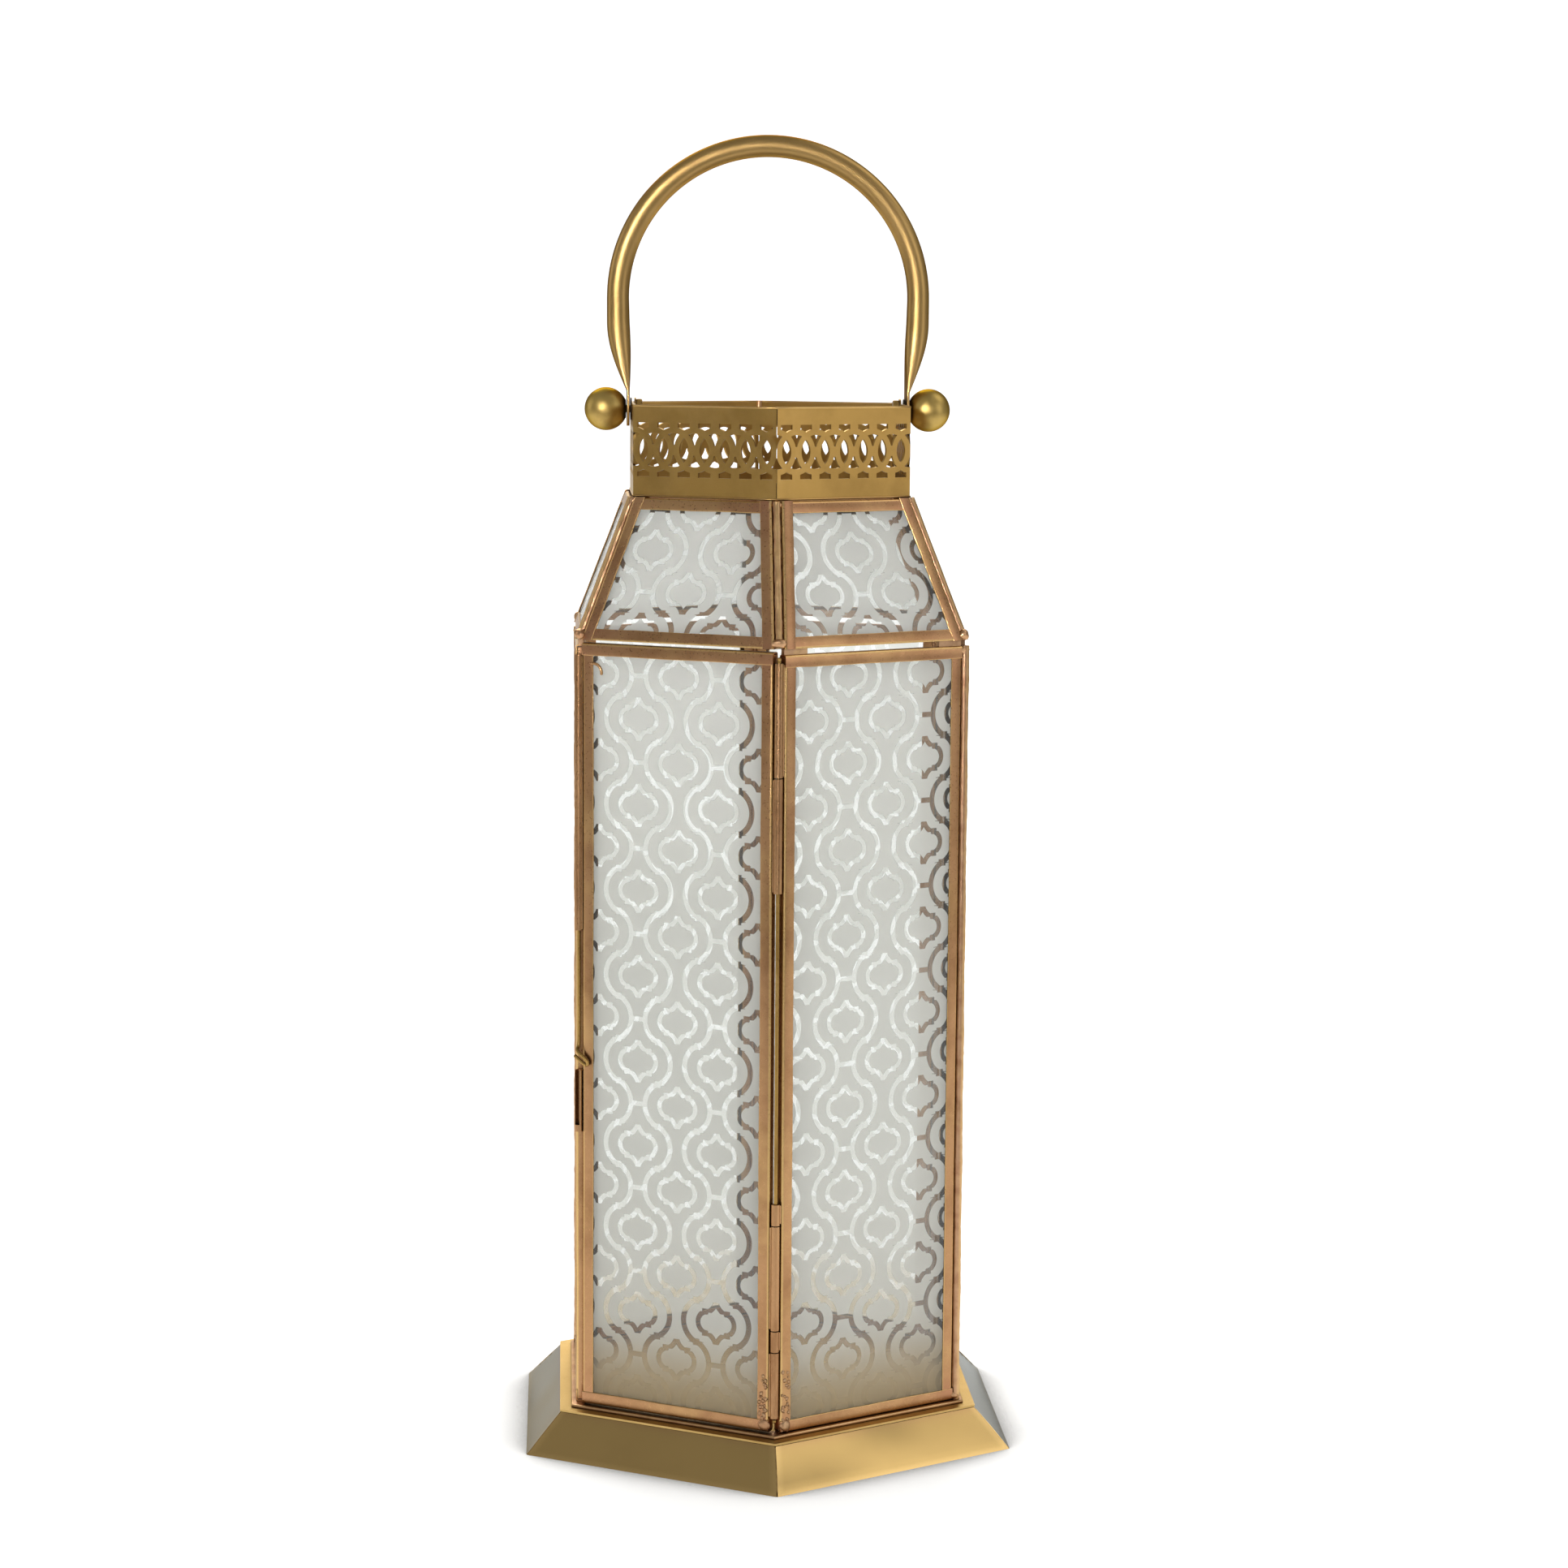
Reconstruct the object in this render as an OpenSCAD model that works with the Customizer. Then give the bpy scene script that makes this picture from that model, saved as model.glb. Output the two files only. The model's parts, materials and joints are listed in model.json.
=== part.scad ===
// Six-sided glazed lantern: flared base, glass body with one hinged door, sloping glass roof,
// pierced collar and a carrying bail that swings on two screws. Corners of the hexagon point
// along -Y and +Y; the door is the face to the left of the front corner.

/* [Base] */
// Circumradius of the base at the foot
base_r = 105.75; // [100:0.25:112]
// Circumradius of the ledge on top of the base
ledge_r = 90.9; // [89:0.1:94]
// Height of the ledge above the table
ledge_z = 15.2; // [13:0.1:18]
// Thickness of the base's side sheet
base_sheet = 1.2; // [0.8:0.1:1.6]
// Thickness of the floor sheet
floor_sheet = 0.8; // [0.6:0.1:1.2]
// Width of the open seam at each corner of the base
base_seam = 0.7; // [0.3:0.1:1.2]

/* [Body] */
// Circumradius of the glazed body
body_r = 84; // [80:0.25:86]
// Height of the foot ring that the frames stand on
foot_h = 1.2; // [1:0.1:2]
// Height of the five fixed side frames
side_h = 288.1; // [240:0.5:340]
// Width of the channel's face around the glass
channel_w = 4.6; // [4:0.1:6]
// Thickness of a glazed panel
panel_t = 4; // [3.6:0.1:5]
// Thickness of the channel's sheet
channel_sheet = 0.6; // [0.4:0.05:0.8]
// How far the covered channel lies below the one that laps over it
channel_lap = 0.2; // [0.1:0.05:0.3]
// Distance from the body's corner to a panel's edge, along the face
corner_inset = 2.7; // [2.5:0.05:3]

/* [Door] */
// Gap under the door
door_gap_bottom = 0.6; // [0.4:0.1:1.5]
// Gap over the door
door_gap_top = 1.1; // [0.6:0.1:2]

/* [Roof] */
// Height of the slit between body and roof
roof_gap = 2.1; // [1.8:0.1:3]
// Height of the sloping roof
roof_h = 52; // [45:0.5:60]
// Circumradius of the roof at its eaves
eaves_r = 84.4; // [83:0.1:86]
// Circumradius of the roof at its top
roof_top_r = 61.6; // [60.5:0.1:63]
// Distance from a ridge to a roof panel's edge, square to the ridge
ridge_inset = 2.3; // [2.1:0.05:2.6]
// Radius of the bead along a ridge
ridge_bead_r = 1.45; // [1.2:0.05:1.7]
// Length of a spacer in the slit under the roof
spacer_l = 10; // [6:0.5:14]

/* [Collar] */
// Circumradius of the collar
collar_r = 59.4; // [58.8:0.1:60]
// Height of the collar
collar_h = 33.9; // [31:0.1:36]
// Thickness of the collar's sheet
collar_sheet = 1; // [0.8:0.1:1.4]
// Repeats of the pierced pattern on each face
collar_repeats = 7; // [5:2:9]
// Radius of the interlaced rings, inside
ring_in_r = 6.2; // [5.8:0.1:6.3]
// Radius of the interlaced rings, outside
ring_out_r = 8.35; // [8.2:0.05:8.5]
// Distance from the collar's rim to the middle of the pierced band
band_down = 16.4; // [16:0.1:17]

/* [Hinge and latch] */
// Outer radius of the hinge and latch tubes
tube_r = 1.6; // [1.5:0.05:1.7]
// Radius of the wire in them
wire_r = 0.7; // [0.6:0.05:0.75]
// Radial clearance of the wire
wire_fit = 0.06; // [0.03:0.01:0.1]

/* [Handle] */
// Height of the handle's pivot
pivot_z = 390.3; // [389.8:0.1:390.4]
// Radius of the handle's tube
handle_tube_r = 4.15; // [3.6:0.05:4.4]
// Centreline radius of the handle's arch
arch_r = 56.65; // [56.3:0.05:57]
// Height of the arch's centre
arch_z = 431.9; // [428:0.1:436]
// Radius of the pivot screws
screw_r = 1.4; // [1.2:0.05:1.5]
// Radial clearance of the handle on its screws
screw_fit = 0.05; // [0.02:0.01:0.1]
// Radius of the ball knobs
ball_r = 8.1; // [7.6:0.1:8.4]
// Distance of a ball's centre from the middle
ball_x = 61.1; // [61:0.1:61.4]

/* [Hidden] */
$fn = 48;

// Directions of the faces' outward normals and of the corners
front_right = -60;
right = 0;
back_right = 60;
back_left = 120;
left = 180;
front_left = -120;
FACES = [front_right, right, back_right, back_left, left, front_left];
FIXED_FACES = [front_right, right, back_right, back_left, left];
CORNERS = [-90, -30, 30, 90, 150, -150];
BEADED_CORNERS = [-30, 30, 90, 150];
SEAM_CORNERS = [-90, 90];
hinge_corner = -90;
latch_corner = -150;

// Body
side_z0 = ledge_z + foot_h;
side_z1 = side_z0 + side_h;
door_z0 = side_z0 + door_gap_bottom;
door_z1 = side_z1 + roof_gap - door_gap_top;
body_ap = apothem(body_r);
half_w = body_r / 2 - corner_inset;
edge_gap = 2;                              // from a hinge axis to the panel edges beside it
axis_r = 2 * (half_w + edge_gap);          // distance of the corner axes from the middle
filler_r = 2.2;                            // solder behind a corner bead
filler_depth = 1.7;
foot_ring_r = 86;
foot_ring_in_r = 78.6;

// Base
base_wall_h = ledge_z - floor_sheet;
base_ap = apothem(base_r);
base_run = base_ap - apothem(ledge_r);
base_tilt = atan(base_run / base_wall_h);
base_slope = norm([base_run, base_wall_h]);
base_corner_tilt = atan((base_r - ledge_r) / base_wall_h);

// Roof
roof_z0 = side_z1 + roof_gap;
roof_z1 = roof_z0 + roof_h;
roof_run = apothem(eaves_r) - apothem(roof_top_r);
roof_tilt = atan(roof_run / roof_h);
roof_slope = norm([roof_run, roof_h]);
ridge_tilt = atan((eaves_r - roof_top_r) / roof_h);
ridge_l = norm([eaves_r - roof_top_r, roof_h]);
ridge_bead_depth = 1.2;
ridge_filler_r = 1.9;
ridge_filler_depth = 2.4;
roof_slot_bottom = 2;                      // the glass stops this far from the eaves
roof_slot_top = 0.8;                       // and this far from the roof's top edge

// Collar
collar_z0 = roof_z1;
collar_z1 = collar_z0 + collar_h;
collar_ap = apothem(collar_r);
pitch = collar_r / collar_repeats;
collar_seam = 0.3;
tip_cut = 1.9;                             // the triangles stop this far from the band's middle
pentagon_w = 5;
pentagon_reach = 9.9;
plain_band = 6.4;
collar_seam_r = 1.2;
corner_narrowing = 0.3;                    // seen square to a corner, the triangles there are narrower

// Hinge: heights where the tubes start and end
FIXED_TUBES = [[260.2, 301.5], [95.2, 103], [47.6, 55.3]];
DOOR_TUBES = [[218, 259.8], [55.7, 94.8], [22.5, 47.2]];
upper_pin = [97, 303];
lower_pin = [21.5, 96];
pin_hook = 1.1;
web_t = 1.4;
web_root = 1.1;                            // the web starts inside the tube's wall
web_short = 0.5;                           // and stops short of the tube's ends
bend_swell = 0.03;                         // a bent wire is this much fatter at the bend

// Latch, drawn with its bolt raised clear of the keeper
guide_tube = [198, 301];
keeper_tube = [121.6, 145];
bolt_z0 = 153.4;
bolt_z1 = 255;
keeper_slot = 1.9;
finger_out = 2.45;                         // distance of the bolt's finger from its axis
finger_far = 4.3;                          // how far it reaches over the door's stile
finger_drop = 3.1;
finger_gap = 2.3;                          // between the two strands of the finger

// Handle and pivots
washer_out_t = 0.56;
washer_out_r = 4.2;
washer_in_t = 0.6;
nut_t = 2.4;
nut_r = 4.3;
tab_x0 = 52.25;
tab_t = 1.1;
tab_r = 6.4;
tab_top = 398;
ball_flat_x = 53.6;
screw_x0 = 46.6;
screw_x1 = 59.6;
leg_lo = 397;                              // the tube is flat here
leg_hi = 423;                              // and round here
leg_sides = 24;
leg_rings = 14;

tiny = 0.02;
BRASS = "#a9834a";
COPPER = "#b07b4d";
GLASS = [0.80, 0.82, 0.80, 0.45];

function apothem(r) = r * cos(30);
function roof_half_w(v) = (eaves_r + (roof_top_r - eaves_r) * v / roof_slope) / 2;
function base_half_w(v) = (base_r + (ledge_r - base_r) * v / base_slope) / 2;

// Frames of reference: on a face, -Y points out and +X to the right; at a corner, +X points out.
module on_face(normal) rotate([0, 0, normal + 90]) children();
module at_corner(a, r) rotate([0, 0, a]) translate([r, 0, 0]) children();
module on_roof(normal) on_face(normal)
    translate([0, -apothem(eaves_r), roof_z0]) rotate([-roof_tilt, 0, 0]) children();

module hexagon(r, z0, z1) translate([0, 0, z0]) rotate([0, 0, 30]) cylinder(r = r, h = z1 - z0, $fn = 6);
module hex_ring(outer_r, inner_r, z0, z1) difference() {
    hexagon(outer_r, z0, z1);
    hexagon(inner_r, z0 - 1, z1 + 1);
}
module level_band(z0, z1) translate([-150, -150, z0]) cube([300, 300, z1 - z0]);
module upright(r, z0, z1) translate([0, 0, z0]) cylinder(r = r, h = z1 - z0);
module bar(a, b, r) {
    d = b - a;
    length = norm(d);
    translate(a) rotate([0, acos(d[2] / length), atan2(d[1], d[0])]) cylinder(r = r, h = length);
    for (end = [a, b]) translate(end) sphere(r = r + bend_swell);
}

// A trapezoid of sheet standing on its edge, from depth w0 to w1; its sides follow half_w(v).
module leaning_plate(widths, v0, v1, w0, w1) translate([0, w1, 0]) rotate([90, 0, 0])
    linear_extrude(w1 - w0)
        polygon([[-widths[0], v0], [widths[0], v0], [widths[1], v1], [-widths[1], v1]]);

// ---- base ----
module base_wall(normal) on_face(normal) translate([0, -base_ap, 0]) rotate([-base_tilt, 0, 0])
    leaning_plate([base_half_w(-3) - base_seam, base_half_w(base_slope + 3) - base_seam],
                  -3, base_slope + 3, 0, base_sheet);
module base_skirt() color("#a8894f") intersection() {
    level_band(0, base_wall_h);
    union() {
        for (f = FACES) base_wall(f);
        // Solder along the inside of each corner
        for (c = CORNERS) at_corner(c, base_r) rotate([0, -base_corner_tilt, 0])
            translate([-base_sheet - 1.3, 0, -6]) cylinder(r = 1.7, h = base_slope + 14);
    }
}
module floor_plate() color("#b59a68") hexagon(ledge_r, ledge_z - floor_sheet, ledge_z);
module foot_ring() color(COPPER) hex_ring(foot_ring_r, foot_ring_in_r, ledge_z, side_z0);

// ---- glazed sides ----
module side_slab(z0, z1) translate([-half_w, -body_ap, z0]) cube([2 * half_w, panel_t, z1 - z0]);
module side_pane(z0, z1) translate([-half_w + channel_sheet, -body_ap + channel_sheet, z0 + channel_sheet])
    cube([2 * (half_w - channel_sheet), panel_t - 2 * channel_sheet, z1 - z0 - 2 * channel_sheet]);
// Rails run the full width and lap over the stiles.
module side_frame(z0, z1) difference() {
    union() {
        for (z = [z0, z1 - channel_w])
            translate([-half_w, -body_ap, z]) cube([2 * half_w, panel_t, channel_w]);
        for (x = [-half_w, half_w - channel_w])
            translate([x, -body_ap + channel_lap, z0 + 1])
                cube([channel_w, panel_t - 2 * channel_lap, z1 - z0 - 2]);
    }
    side_pane(z0, z1);
}
module fixed_frame(normal) color(COPPER) on_face(normal) side_frame(side_z0, side_z1);
module fixed_glass(normal) color(GLASS) on_face(normal) side_pane(side_z0, side_z1);
module frame_front_right() fixed_frame(front_right);
module frame_right() fixed_frame(right);
module frame_back_right() fixed_frame(back_right);
module frame_back_left() fixed_frame(back_left);
module frame_left() fixed_frame(left);
module glass_front_right() fixed_glass(front_right);
module glass_right() fixed_glass(right);
module glass_back_right() fixed_glass(back_right);
module glass_back_left() fixed_glass(back_left);
module glass_left() fixed_glass(left);
module corner_beads() color(COPPER) difference() {
    for (c = BEADED_CORNERS) at_corner(c, axis_r) {
        upright(tube_r, side_z0, side_z1);
        translate([-filler_depth, 0, 0]) upright(filler_r, side_z0, side_z1);
    }
    for (f = FACES) on_face(f) side_slab(side_z0 - 1, side_z1 + 1);
}

// ---- door ----
module door_frame() color(COPPER) on_face(front_left) side_frame(door_z0, door_z1);
module door_glass() color(GLASS) on_face(front_left) side_pane(door_z0, door_z1);

// A length of tube at a corner, held off a panel's edge by a web; side is 1 or -1 for the panel
// that lies counter-clockwise or clockwise of the corner.
module edge_tube(corner, side, z) at_corner(corner, axis_r) difference() {
    union() {
        upright(tube_r, z[0], z[1]);
        rotate([0, 0, side * 120]) translate([web_root, -web_t / 2, z[0] + web_short])
            cube([edge_gap - web_root, web_t, z[1] - z[0] - 2 * web_short]);
    }
    upright(wire_r + wire_fit, z[0] - 1, z[1] + 1);
}
module hinge_tubes_fixed() color("#b98a55") for (z = FIXED_TUBES) edge_tube(hinge_corner, 1, z);
module hinge_tubes_door() color("#b98a55") for (z = DOOR_TUBES) edge_tube(hinge_corner, -1, z);
module hinge_pin_upper() color("#8a7a5a") at_corner(hinge_corner, axis_r) {
    upright(wire_r, upper_pin[0], upper_pin[1]);
    bar([0, 0, upper_pin[1]], [pin_hook, 0, upper_pin[1]], wire_r);
}
module hinge_pin_lower() color("#8a7a5a") at_corner(hinge_corner, axis_r) {
    upright(wire_r, lower_pin[0], lower_pin[1]);
    bar([0, 0, lower_pin[0]], [pin_hook, 0, lower_pin[0]], wire_r);
}

// ---- latch ----
module latch_guide_tube() color("#b98a55") edge_tube(latch_corner, 1, guide_tube);
module latch_keeper() color("#b98a55") difference() {
    edge_tube(latch_corner, -1, keeper_tube);
    at_corner(latch_corner, axis_r) rotate([0, 0, 30])
        translate([0, -keeper_slot / 2, keeper_tube[0] + 2.5])
            cube([2 * tube_r, keeper_slot, keeper_tube[1] - keeper_tube[0]]);
}
// Wire bolt: its end leaves the groove and doubles back over the door's stile as a finger.
// Here +X points out of the door and +Y along it.
module latch_bolt() color("#9a8455") at_corner(latch_corner, axis_r) rotate([0, 0, 30]) {
    upright(wire_r, bolt_z0, bolt_z1);
    root = [finger_out, 0.3, bolt_z0 - 0.6];
    far = [finger_out, finger_far, bolt_z0 - 0.6 - finger_drop];
    down = [0, -0.3, -finger_gap];
    bar([0, 0, bolt_z0], root, wire_r);
    bar(root, far, wire_r);
    bar(far, far + down, wire_r);
    bar(far + down, root + [0, 0, -finger_gap], wire_r);
}

// ---- roof ----
module roof_plate(inset, v0, v1, w0, w1) {
    side = inset / cos(atan((eaves_r - roof_top_r) / 2 / roof_slope));
    leaning_plate([roof_half_w(v0) - side, roof_half_w(v1) - side], v0, v1, w0, w1);
}
module roof_slab() roof_plate(ridge_inset, -9, roof_slope + 9, 0, panel_t);
module roof_pane() roof_plate(ridge_inset + channel_sheet, roof_slot_bottom, roof_slope - roof_slot_top,
                              channel_sheet, panel_t - channel_sheet);
// Stiles run the full length and lap over the rails.
module roof_frame(normal) color(COPPER) intersection() {
    level_band(roof_z0, roof_z1);
    on_roof(normal) difference() {
        union() {
            difference() {
                roof_slab();
                roof_plate(ridge_inset + channel_w, -10, roof_slope + 10, -1, panel_t + 1);
            }
            for (v = [[-5, channel_w], [roof_slope - channel_w, roof_slope + 5]])
                roof_plate(ridge_inset + 1, v[0], v[1], channel_lap, panel_t - channel_lap);
        }
        roof_pane();
    }
}
module roof_glass(normal) color(GLASS) on_roof(normal) roof_pane();
module roof_frame_front_right() roof_frame(front_right);
module roof_frame_right() roof_frame(right);
module roof_frame_back_right() roof_frame(back_right);
module roof_frame_back_left() roof_frame(back_left);
module roof_frame_left() roof_frame(left);
module roof_frame_front_left() roof_frame(front_left);
module roof_glass_front_right() roof_glass(front_right);
module roof_glass_right() roof_glass(right);
module roof_glass_back_right() roof_glass(back_right);
module roof_glass_back_left() roof_glass(back_left);
module roof_glass_left() roof_glass(left);
module roof_glass_front_left() roof_glass(front_left);
module ridge_beads() color(COPPER) intersection() {
    level_band(roof_z0, roof_z1);
    difference() {
        for (c = CORNERS) at_corner(c, eaves_r) translate([0, 0, roof_z0]) rotate([0, -ridge_tilt, 0]) {
            translate([-ridge_bead_depth, 0, -5]) cylinder(r = ridge_bead_r, h = ridge_l + 10);
            translate([-ridge_filler_depth, 0, -5]) cylinder(r = ridge_filler_r, h = ridge_l + 10);
        }
        for (f = FACES) on_roof(f) roof_slab();
    }
}
module roof_spacers() color(COPPER) for (f = FIXED_FACES, x = [-half_w, half_w - spacer_l]) on_face(f)
    translate([x, -body_ap + panel_t / 4, side_z1]) cube([spacer_l, panel_t / 2, roof_gap]);

// ---- collar ----
// Interlaced rings: lenses where two rings overlap, triangles inside each ring, and five-sided
// holes above and below the lenses.
module lens() intersection_for (x = [-pitch / 2, pitch / 2]) translate([x, 0]) circle(r = ring_in_r);
module triangles(spacing) difference() {
    circle(r = ring_in_r);
    for (x = [-spacing, spacing]) translate([x, 0]) circle(r = ring_out_r);
    square([2 * pitch, 2 * tip_cut], center = true);
}
module pentagons() difference() {
    square([pentagon_w, 2 * pentagon_reach], center = true);
    for (x = [-pitch / 2, pitch / 2]) translate([x, 0]) circle(r = ring_out_r);
}
module piercing() {
    last = (collar_repeats - 1) / 2;
    for (i = [-last:last]) translate([i * pitch, 0]) {
        lens();
        pentagons();
    }
    for (i = [-last:last - 1]) translate([(i + 0.5) * pitch, 0]) triangles(pitch);
}
// The pair of triangles that is bent round a corner, cut square to the corner
module corner_piercing(c) at_corner(c, collar_r + 1) translate([0, 0, collar_z1 - band_down])
    rotate([90, 0, -90]) linear_extrude(collar_sheet + 3) triangles(pitch - corner_narrowing);
module collar_half(side) color(BRASS) difference() {
    hex_ring(collar_r, collar_r - collar_sheet / cos(30), collar_z0, collar_z1);
    translate([side > 0 ? -150 + collar_seam / 2 : -collar_seam / 2, -150, collar_z0 - 1])
        cube([150, 300, collar_h + 2]);
    for (f = [-60, 0, 60]) on_face(side > 0 ? f : 180 - f)
        translate([0, -collar_ap + collar_sheet + 0.5, collar_z1 - band_down]) rotate([90, 0, 0])
            linear_extrude(collar_sheet + 1.5) piercing();
    for (c = CORNERS) corner_piercing(c);
    across(40, 60, screw_r);
}
module collar_right() collar_half(1);
module collar_left() collar_half(-1);
module collar_seams() color(COPPER) difference() {
    for (c = SEAM_CORNERS) at_corner(c, collar_r - collar_sheet / cos(30)) {
        upright(collar_seam_r, collar_z0, collar_z0 + plain_band);
        upright(collar_seam_r, collar_z1 - plain_band, collar_z1);
    }
    hex_ring(collar_r + 3, collar_r - collar_sheet / cos(30), collar_z0 - 1, collar_z1 + 1);
}

// ---- handle ----
// A cylinder along X at the pivot's height, repeated on both sides
module across(x0, x1, r) for (side = [0, 1]) mirror([side, 0, 0])
    translate([x0, 0, pivot_z]) rotate([0, 90, 0]) cylinder(r = r, h = x1 - x0);
// How round the handle's tube is at height z: 0 is flattened, 1 is round
function roundness(z) = sin(90 * min(1, max(0, (z - leg_lo) / (leg_hi - leg_lo))));
function leg_outer_x(z) = tab_x0 + tab_t + (arch_r + handle_tube_r - tab_x0 - tab_t) * roundness(z);
function leg_inner_x(z) =
    let (s = min(1, max(0, (z - leg_lo) / (leg_hi - leg_lo))), u = max(0, (z - leg_hi) / (arch_z - leg_hi)))
    tab_x0 - 0.35 * sin(180 * s) + (arch_r - handle_tube_r - tab_x0) * min(1, u);
function leg_half_y(z) = handle_tube_r + (tab_r - handle_tube_r - 0.1) * (1 - roundness(z));
function leg_z(k) = leg_lo - 1 + (arch_z + 1.5 - leg_lo + 1) * pow(k / leg_rings, 1.4);
function leg_point(z, a) =
    let (shrink = z > arch_z || z < leg_lo ? 0.97 : 1,
         x0 = leg_inner_x(z), x1 = leg_outer_x(z))
    [(x0 + x1) / 2 + shrink * (x1 - x0) / 2 * cos(a), shrink * leg_half_y(z) * sin(a), z];
module handle_leg() polyhedron(
    points = [for (k = [0:leg_rings], j = [0:leg_sides - 1]) leg_point(leg_z(k), 360 * j / leg_sides)],
    faces = concat(
        [[for (j = [0:leg_sides - 1]) j]],
        [for (k = [0:leg_rings - 1], j = [0:leg_sides - 1])
            let (a = k * leg_sides + j, b = k * leg_sides + (j + 1) % leg_sides)
            [a, a + leg_sides, b + leg_sides, b]],
        [[for (j = [leg_sides - 1:-1:0]) leg_rings * leg_sides + j]]));
module handle_tab() translate([tab_x0, 0, 0]) {
    translate([0, 0, pivot_z]) rotate([0, 90, 0]) cylinder(r = tab_r, h = tab_t);
    translate([0, -tab_r, pivot_z]) cube([tab_t, 2 * tab_r, tab_top - pivot_z]);
}
module handle_bail() color("#a1833f") difference() {
    union() {
        translate([0, 0, arch_z]) rotate([90, 0, 0]) rotate_extrude(angle = 180)
            translate([arch_r, 0]) circle(r = handle_tube_r);
        for (side = [0, 1]) mirror([side, 0, 0]) {
            handle_leg();
            handle_tab();
        }
    }
    across(tab_x0 - 3, tab_x0 + tab_t + 3, screw_r + screw_fit);
}
module pivot_screws() color("#8d7a55") across(screw_x0, screw_x1, screw_r);
module washers(x0, x1, r) difference() {
    across(x0, x1, r);
    across(x0 - 1, x1 + 1, screw_r);
}
module outer_washers() color("#3f3428") washers(collar_ap, collar_ap + washer_out_t, washer_out_r);
module inner_washers() color("#8d7a55")
    washers(collar_ap - collar_sheet - washer_in_t, collar_ap - collar_sheet, nut_r);
module pivot_nuts() color("#9a8a70") difference() {
    for (side = [0, 1]) mirror([side, 0, 0])
        translate([collar_ap - collar_sheet - washer_in_t - nut_t, 0, pivot_z])
            rotate([0, 90, 0]) cylinder(r = nut_r, h = nut_t, $fn = 6);
    across(screw_x0 - 1, collar_ap, screw_r);
}
module ball_knob_left() color("#9a8136") difference() {
    translate([-ball_x, 0, pivot_z]) sphere(r = ball_r, $fn = 64);
    translate([-ball_flat_x, -20, pivot_z - 20]) cube([20, 40, 40]);
    across(ball_flat_x - 3, screw_x1, screw_r);
}
module ball_knob_right() mirror([1, 0, 0]) ball_knob_left();

base_skirt();
floor_plate();
foot_ring();
frame_front_right();
frame_right();
frame_back_right();
frame_back_left();
frame_left();
glass_front_right();
glass_right();
glass_back_right();
glass_back_left();
glass_left();
corner_beads();
door_frame();
door_glass();
hinge_tubes_fixed();
hinge_tubes_door();
hinge_pin_upper();
hinge_pin_lower();
latch_guide_tube();
latch_bolt();
latch_keeper();
roof_spacers();
roof_frame_front_right();
roof_frame_right();
roof_frame_back_right();
roof_frame_back_left();
roof_frame_left();
roof_frame_front_left();
roof_glass_front_right();
roof_glass_right();
roof_glass_back_right();
roof_glass_back_left();
roof_glass_left();
roof_glass_front_left();
ridge_beads();
collar_left();
collar_right();
collar_seams();
handle_bail();
pivot_screws();
outer_washers();
inner_washers();
pivot_nuts();
ball_knob_left();
ball_knob_right();
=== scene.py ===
"""Looks of a six-sided glazed brass lantern: folded channels round etched panes, solder beads,
a leaning base, a pierced collar and a bent tube for a handle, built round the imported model."""
import json
import math

import bpy
import numpy as np
from mathutils import Matrix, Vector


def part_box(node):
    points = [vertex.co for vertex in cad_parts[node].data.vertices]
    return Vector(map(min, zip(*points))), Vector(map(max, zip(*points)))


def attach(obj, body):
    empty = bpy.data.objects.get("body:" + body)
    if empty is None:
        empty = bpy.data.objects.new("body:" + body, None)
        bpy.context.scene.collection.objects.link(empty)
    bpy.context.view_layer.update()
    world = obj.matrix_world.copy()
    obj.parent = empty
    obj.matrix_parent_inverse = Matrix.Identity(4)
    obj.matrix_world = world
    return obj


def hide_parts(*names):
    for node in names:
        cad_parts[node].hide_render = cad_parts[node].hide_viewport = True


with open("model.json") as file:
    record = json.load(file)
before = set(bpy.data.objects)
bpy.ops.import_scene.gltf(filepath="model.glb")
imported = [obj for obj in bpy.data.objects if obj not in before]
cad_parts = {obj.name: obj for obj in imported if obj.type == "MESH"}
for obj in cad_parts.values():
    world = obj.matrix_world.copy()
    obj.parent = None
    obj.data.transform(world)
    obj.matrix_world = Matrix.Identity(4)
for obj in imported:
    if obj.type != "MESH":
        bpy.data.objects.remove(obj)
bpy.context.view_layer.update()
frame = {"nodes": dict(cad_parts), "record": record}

bl_info = {
    "name": "Glazed Brass Lantern",
    "version": (1, 0, 0),
    "blender": (4, 5, 0),
    "location": "View3D > Sidebar > Lantern",
    "description": "Builds the metalwork, solder, etched glass and stage of a hinged brass lantern",
    "category": "Add Mesh",
}

MM = 0.001
UP = np.array([0.0, 0.0, 1.0])
STEP_ANGLE = 60
DOOR_FACE = -120
FACES = {"front_right": -60, "right": 0, "back_right": 60, "back_left": 120, "left": 180,
         "front_left": DOOR_FACE}
CORNERS = (-90, -30, 30, 90, 150, -150)
BEADED_CORNERS = (-30, 30, 90, 150)
COS30 = math.cos(math.radians(30))


def low(node):
    """Lowest corner of a node of the frame."""
    return np.array(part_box(node)[0])


def high(node):
    """Highest corner of a node of the frame."""
    return np.array(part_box(node)[1])


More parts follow.
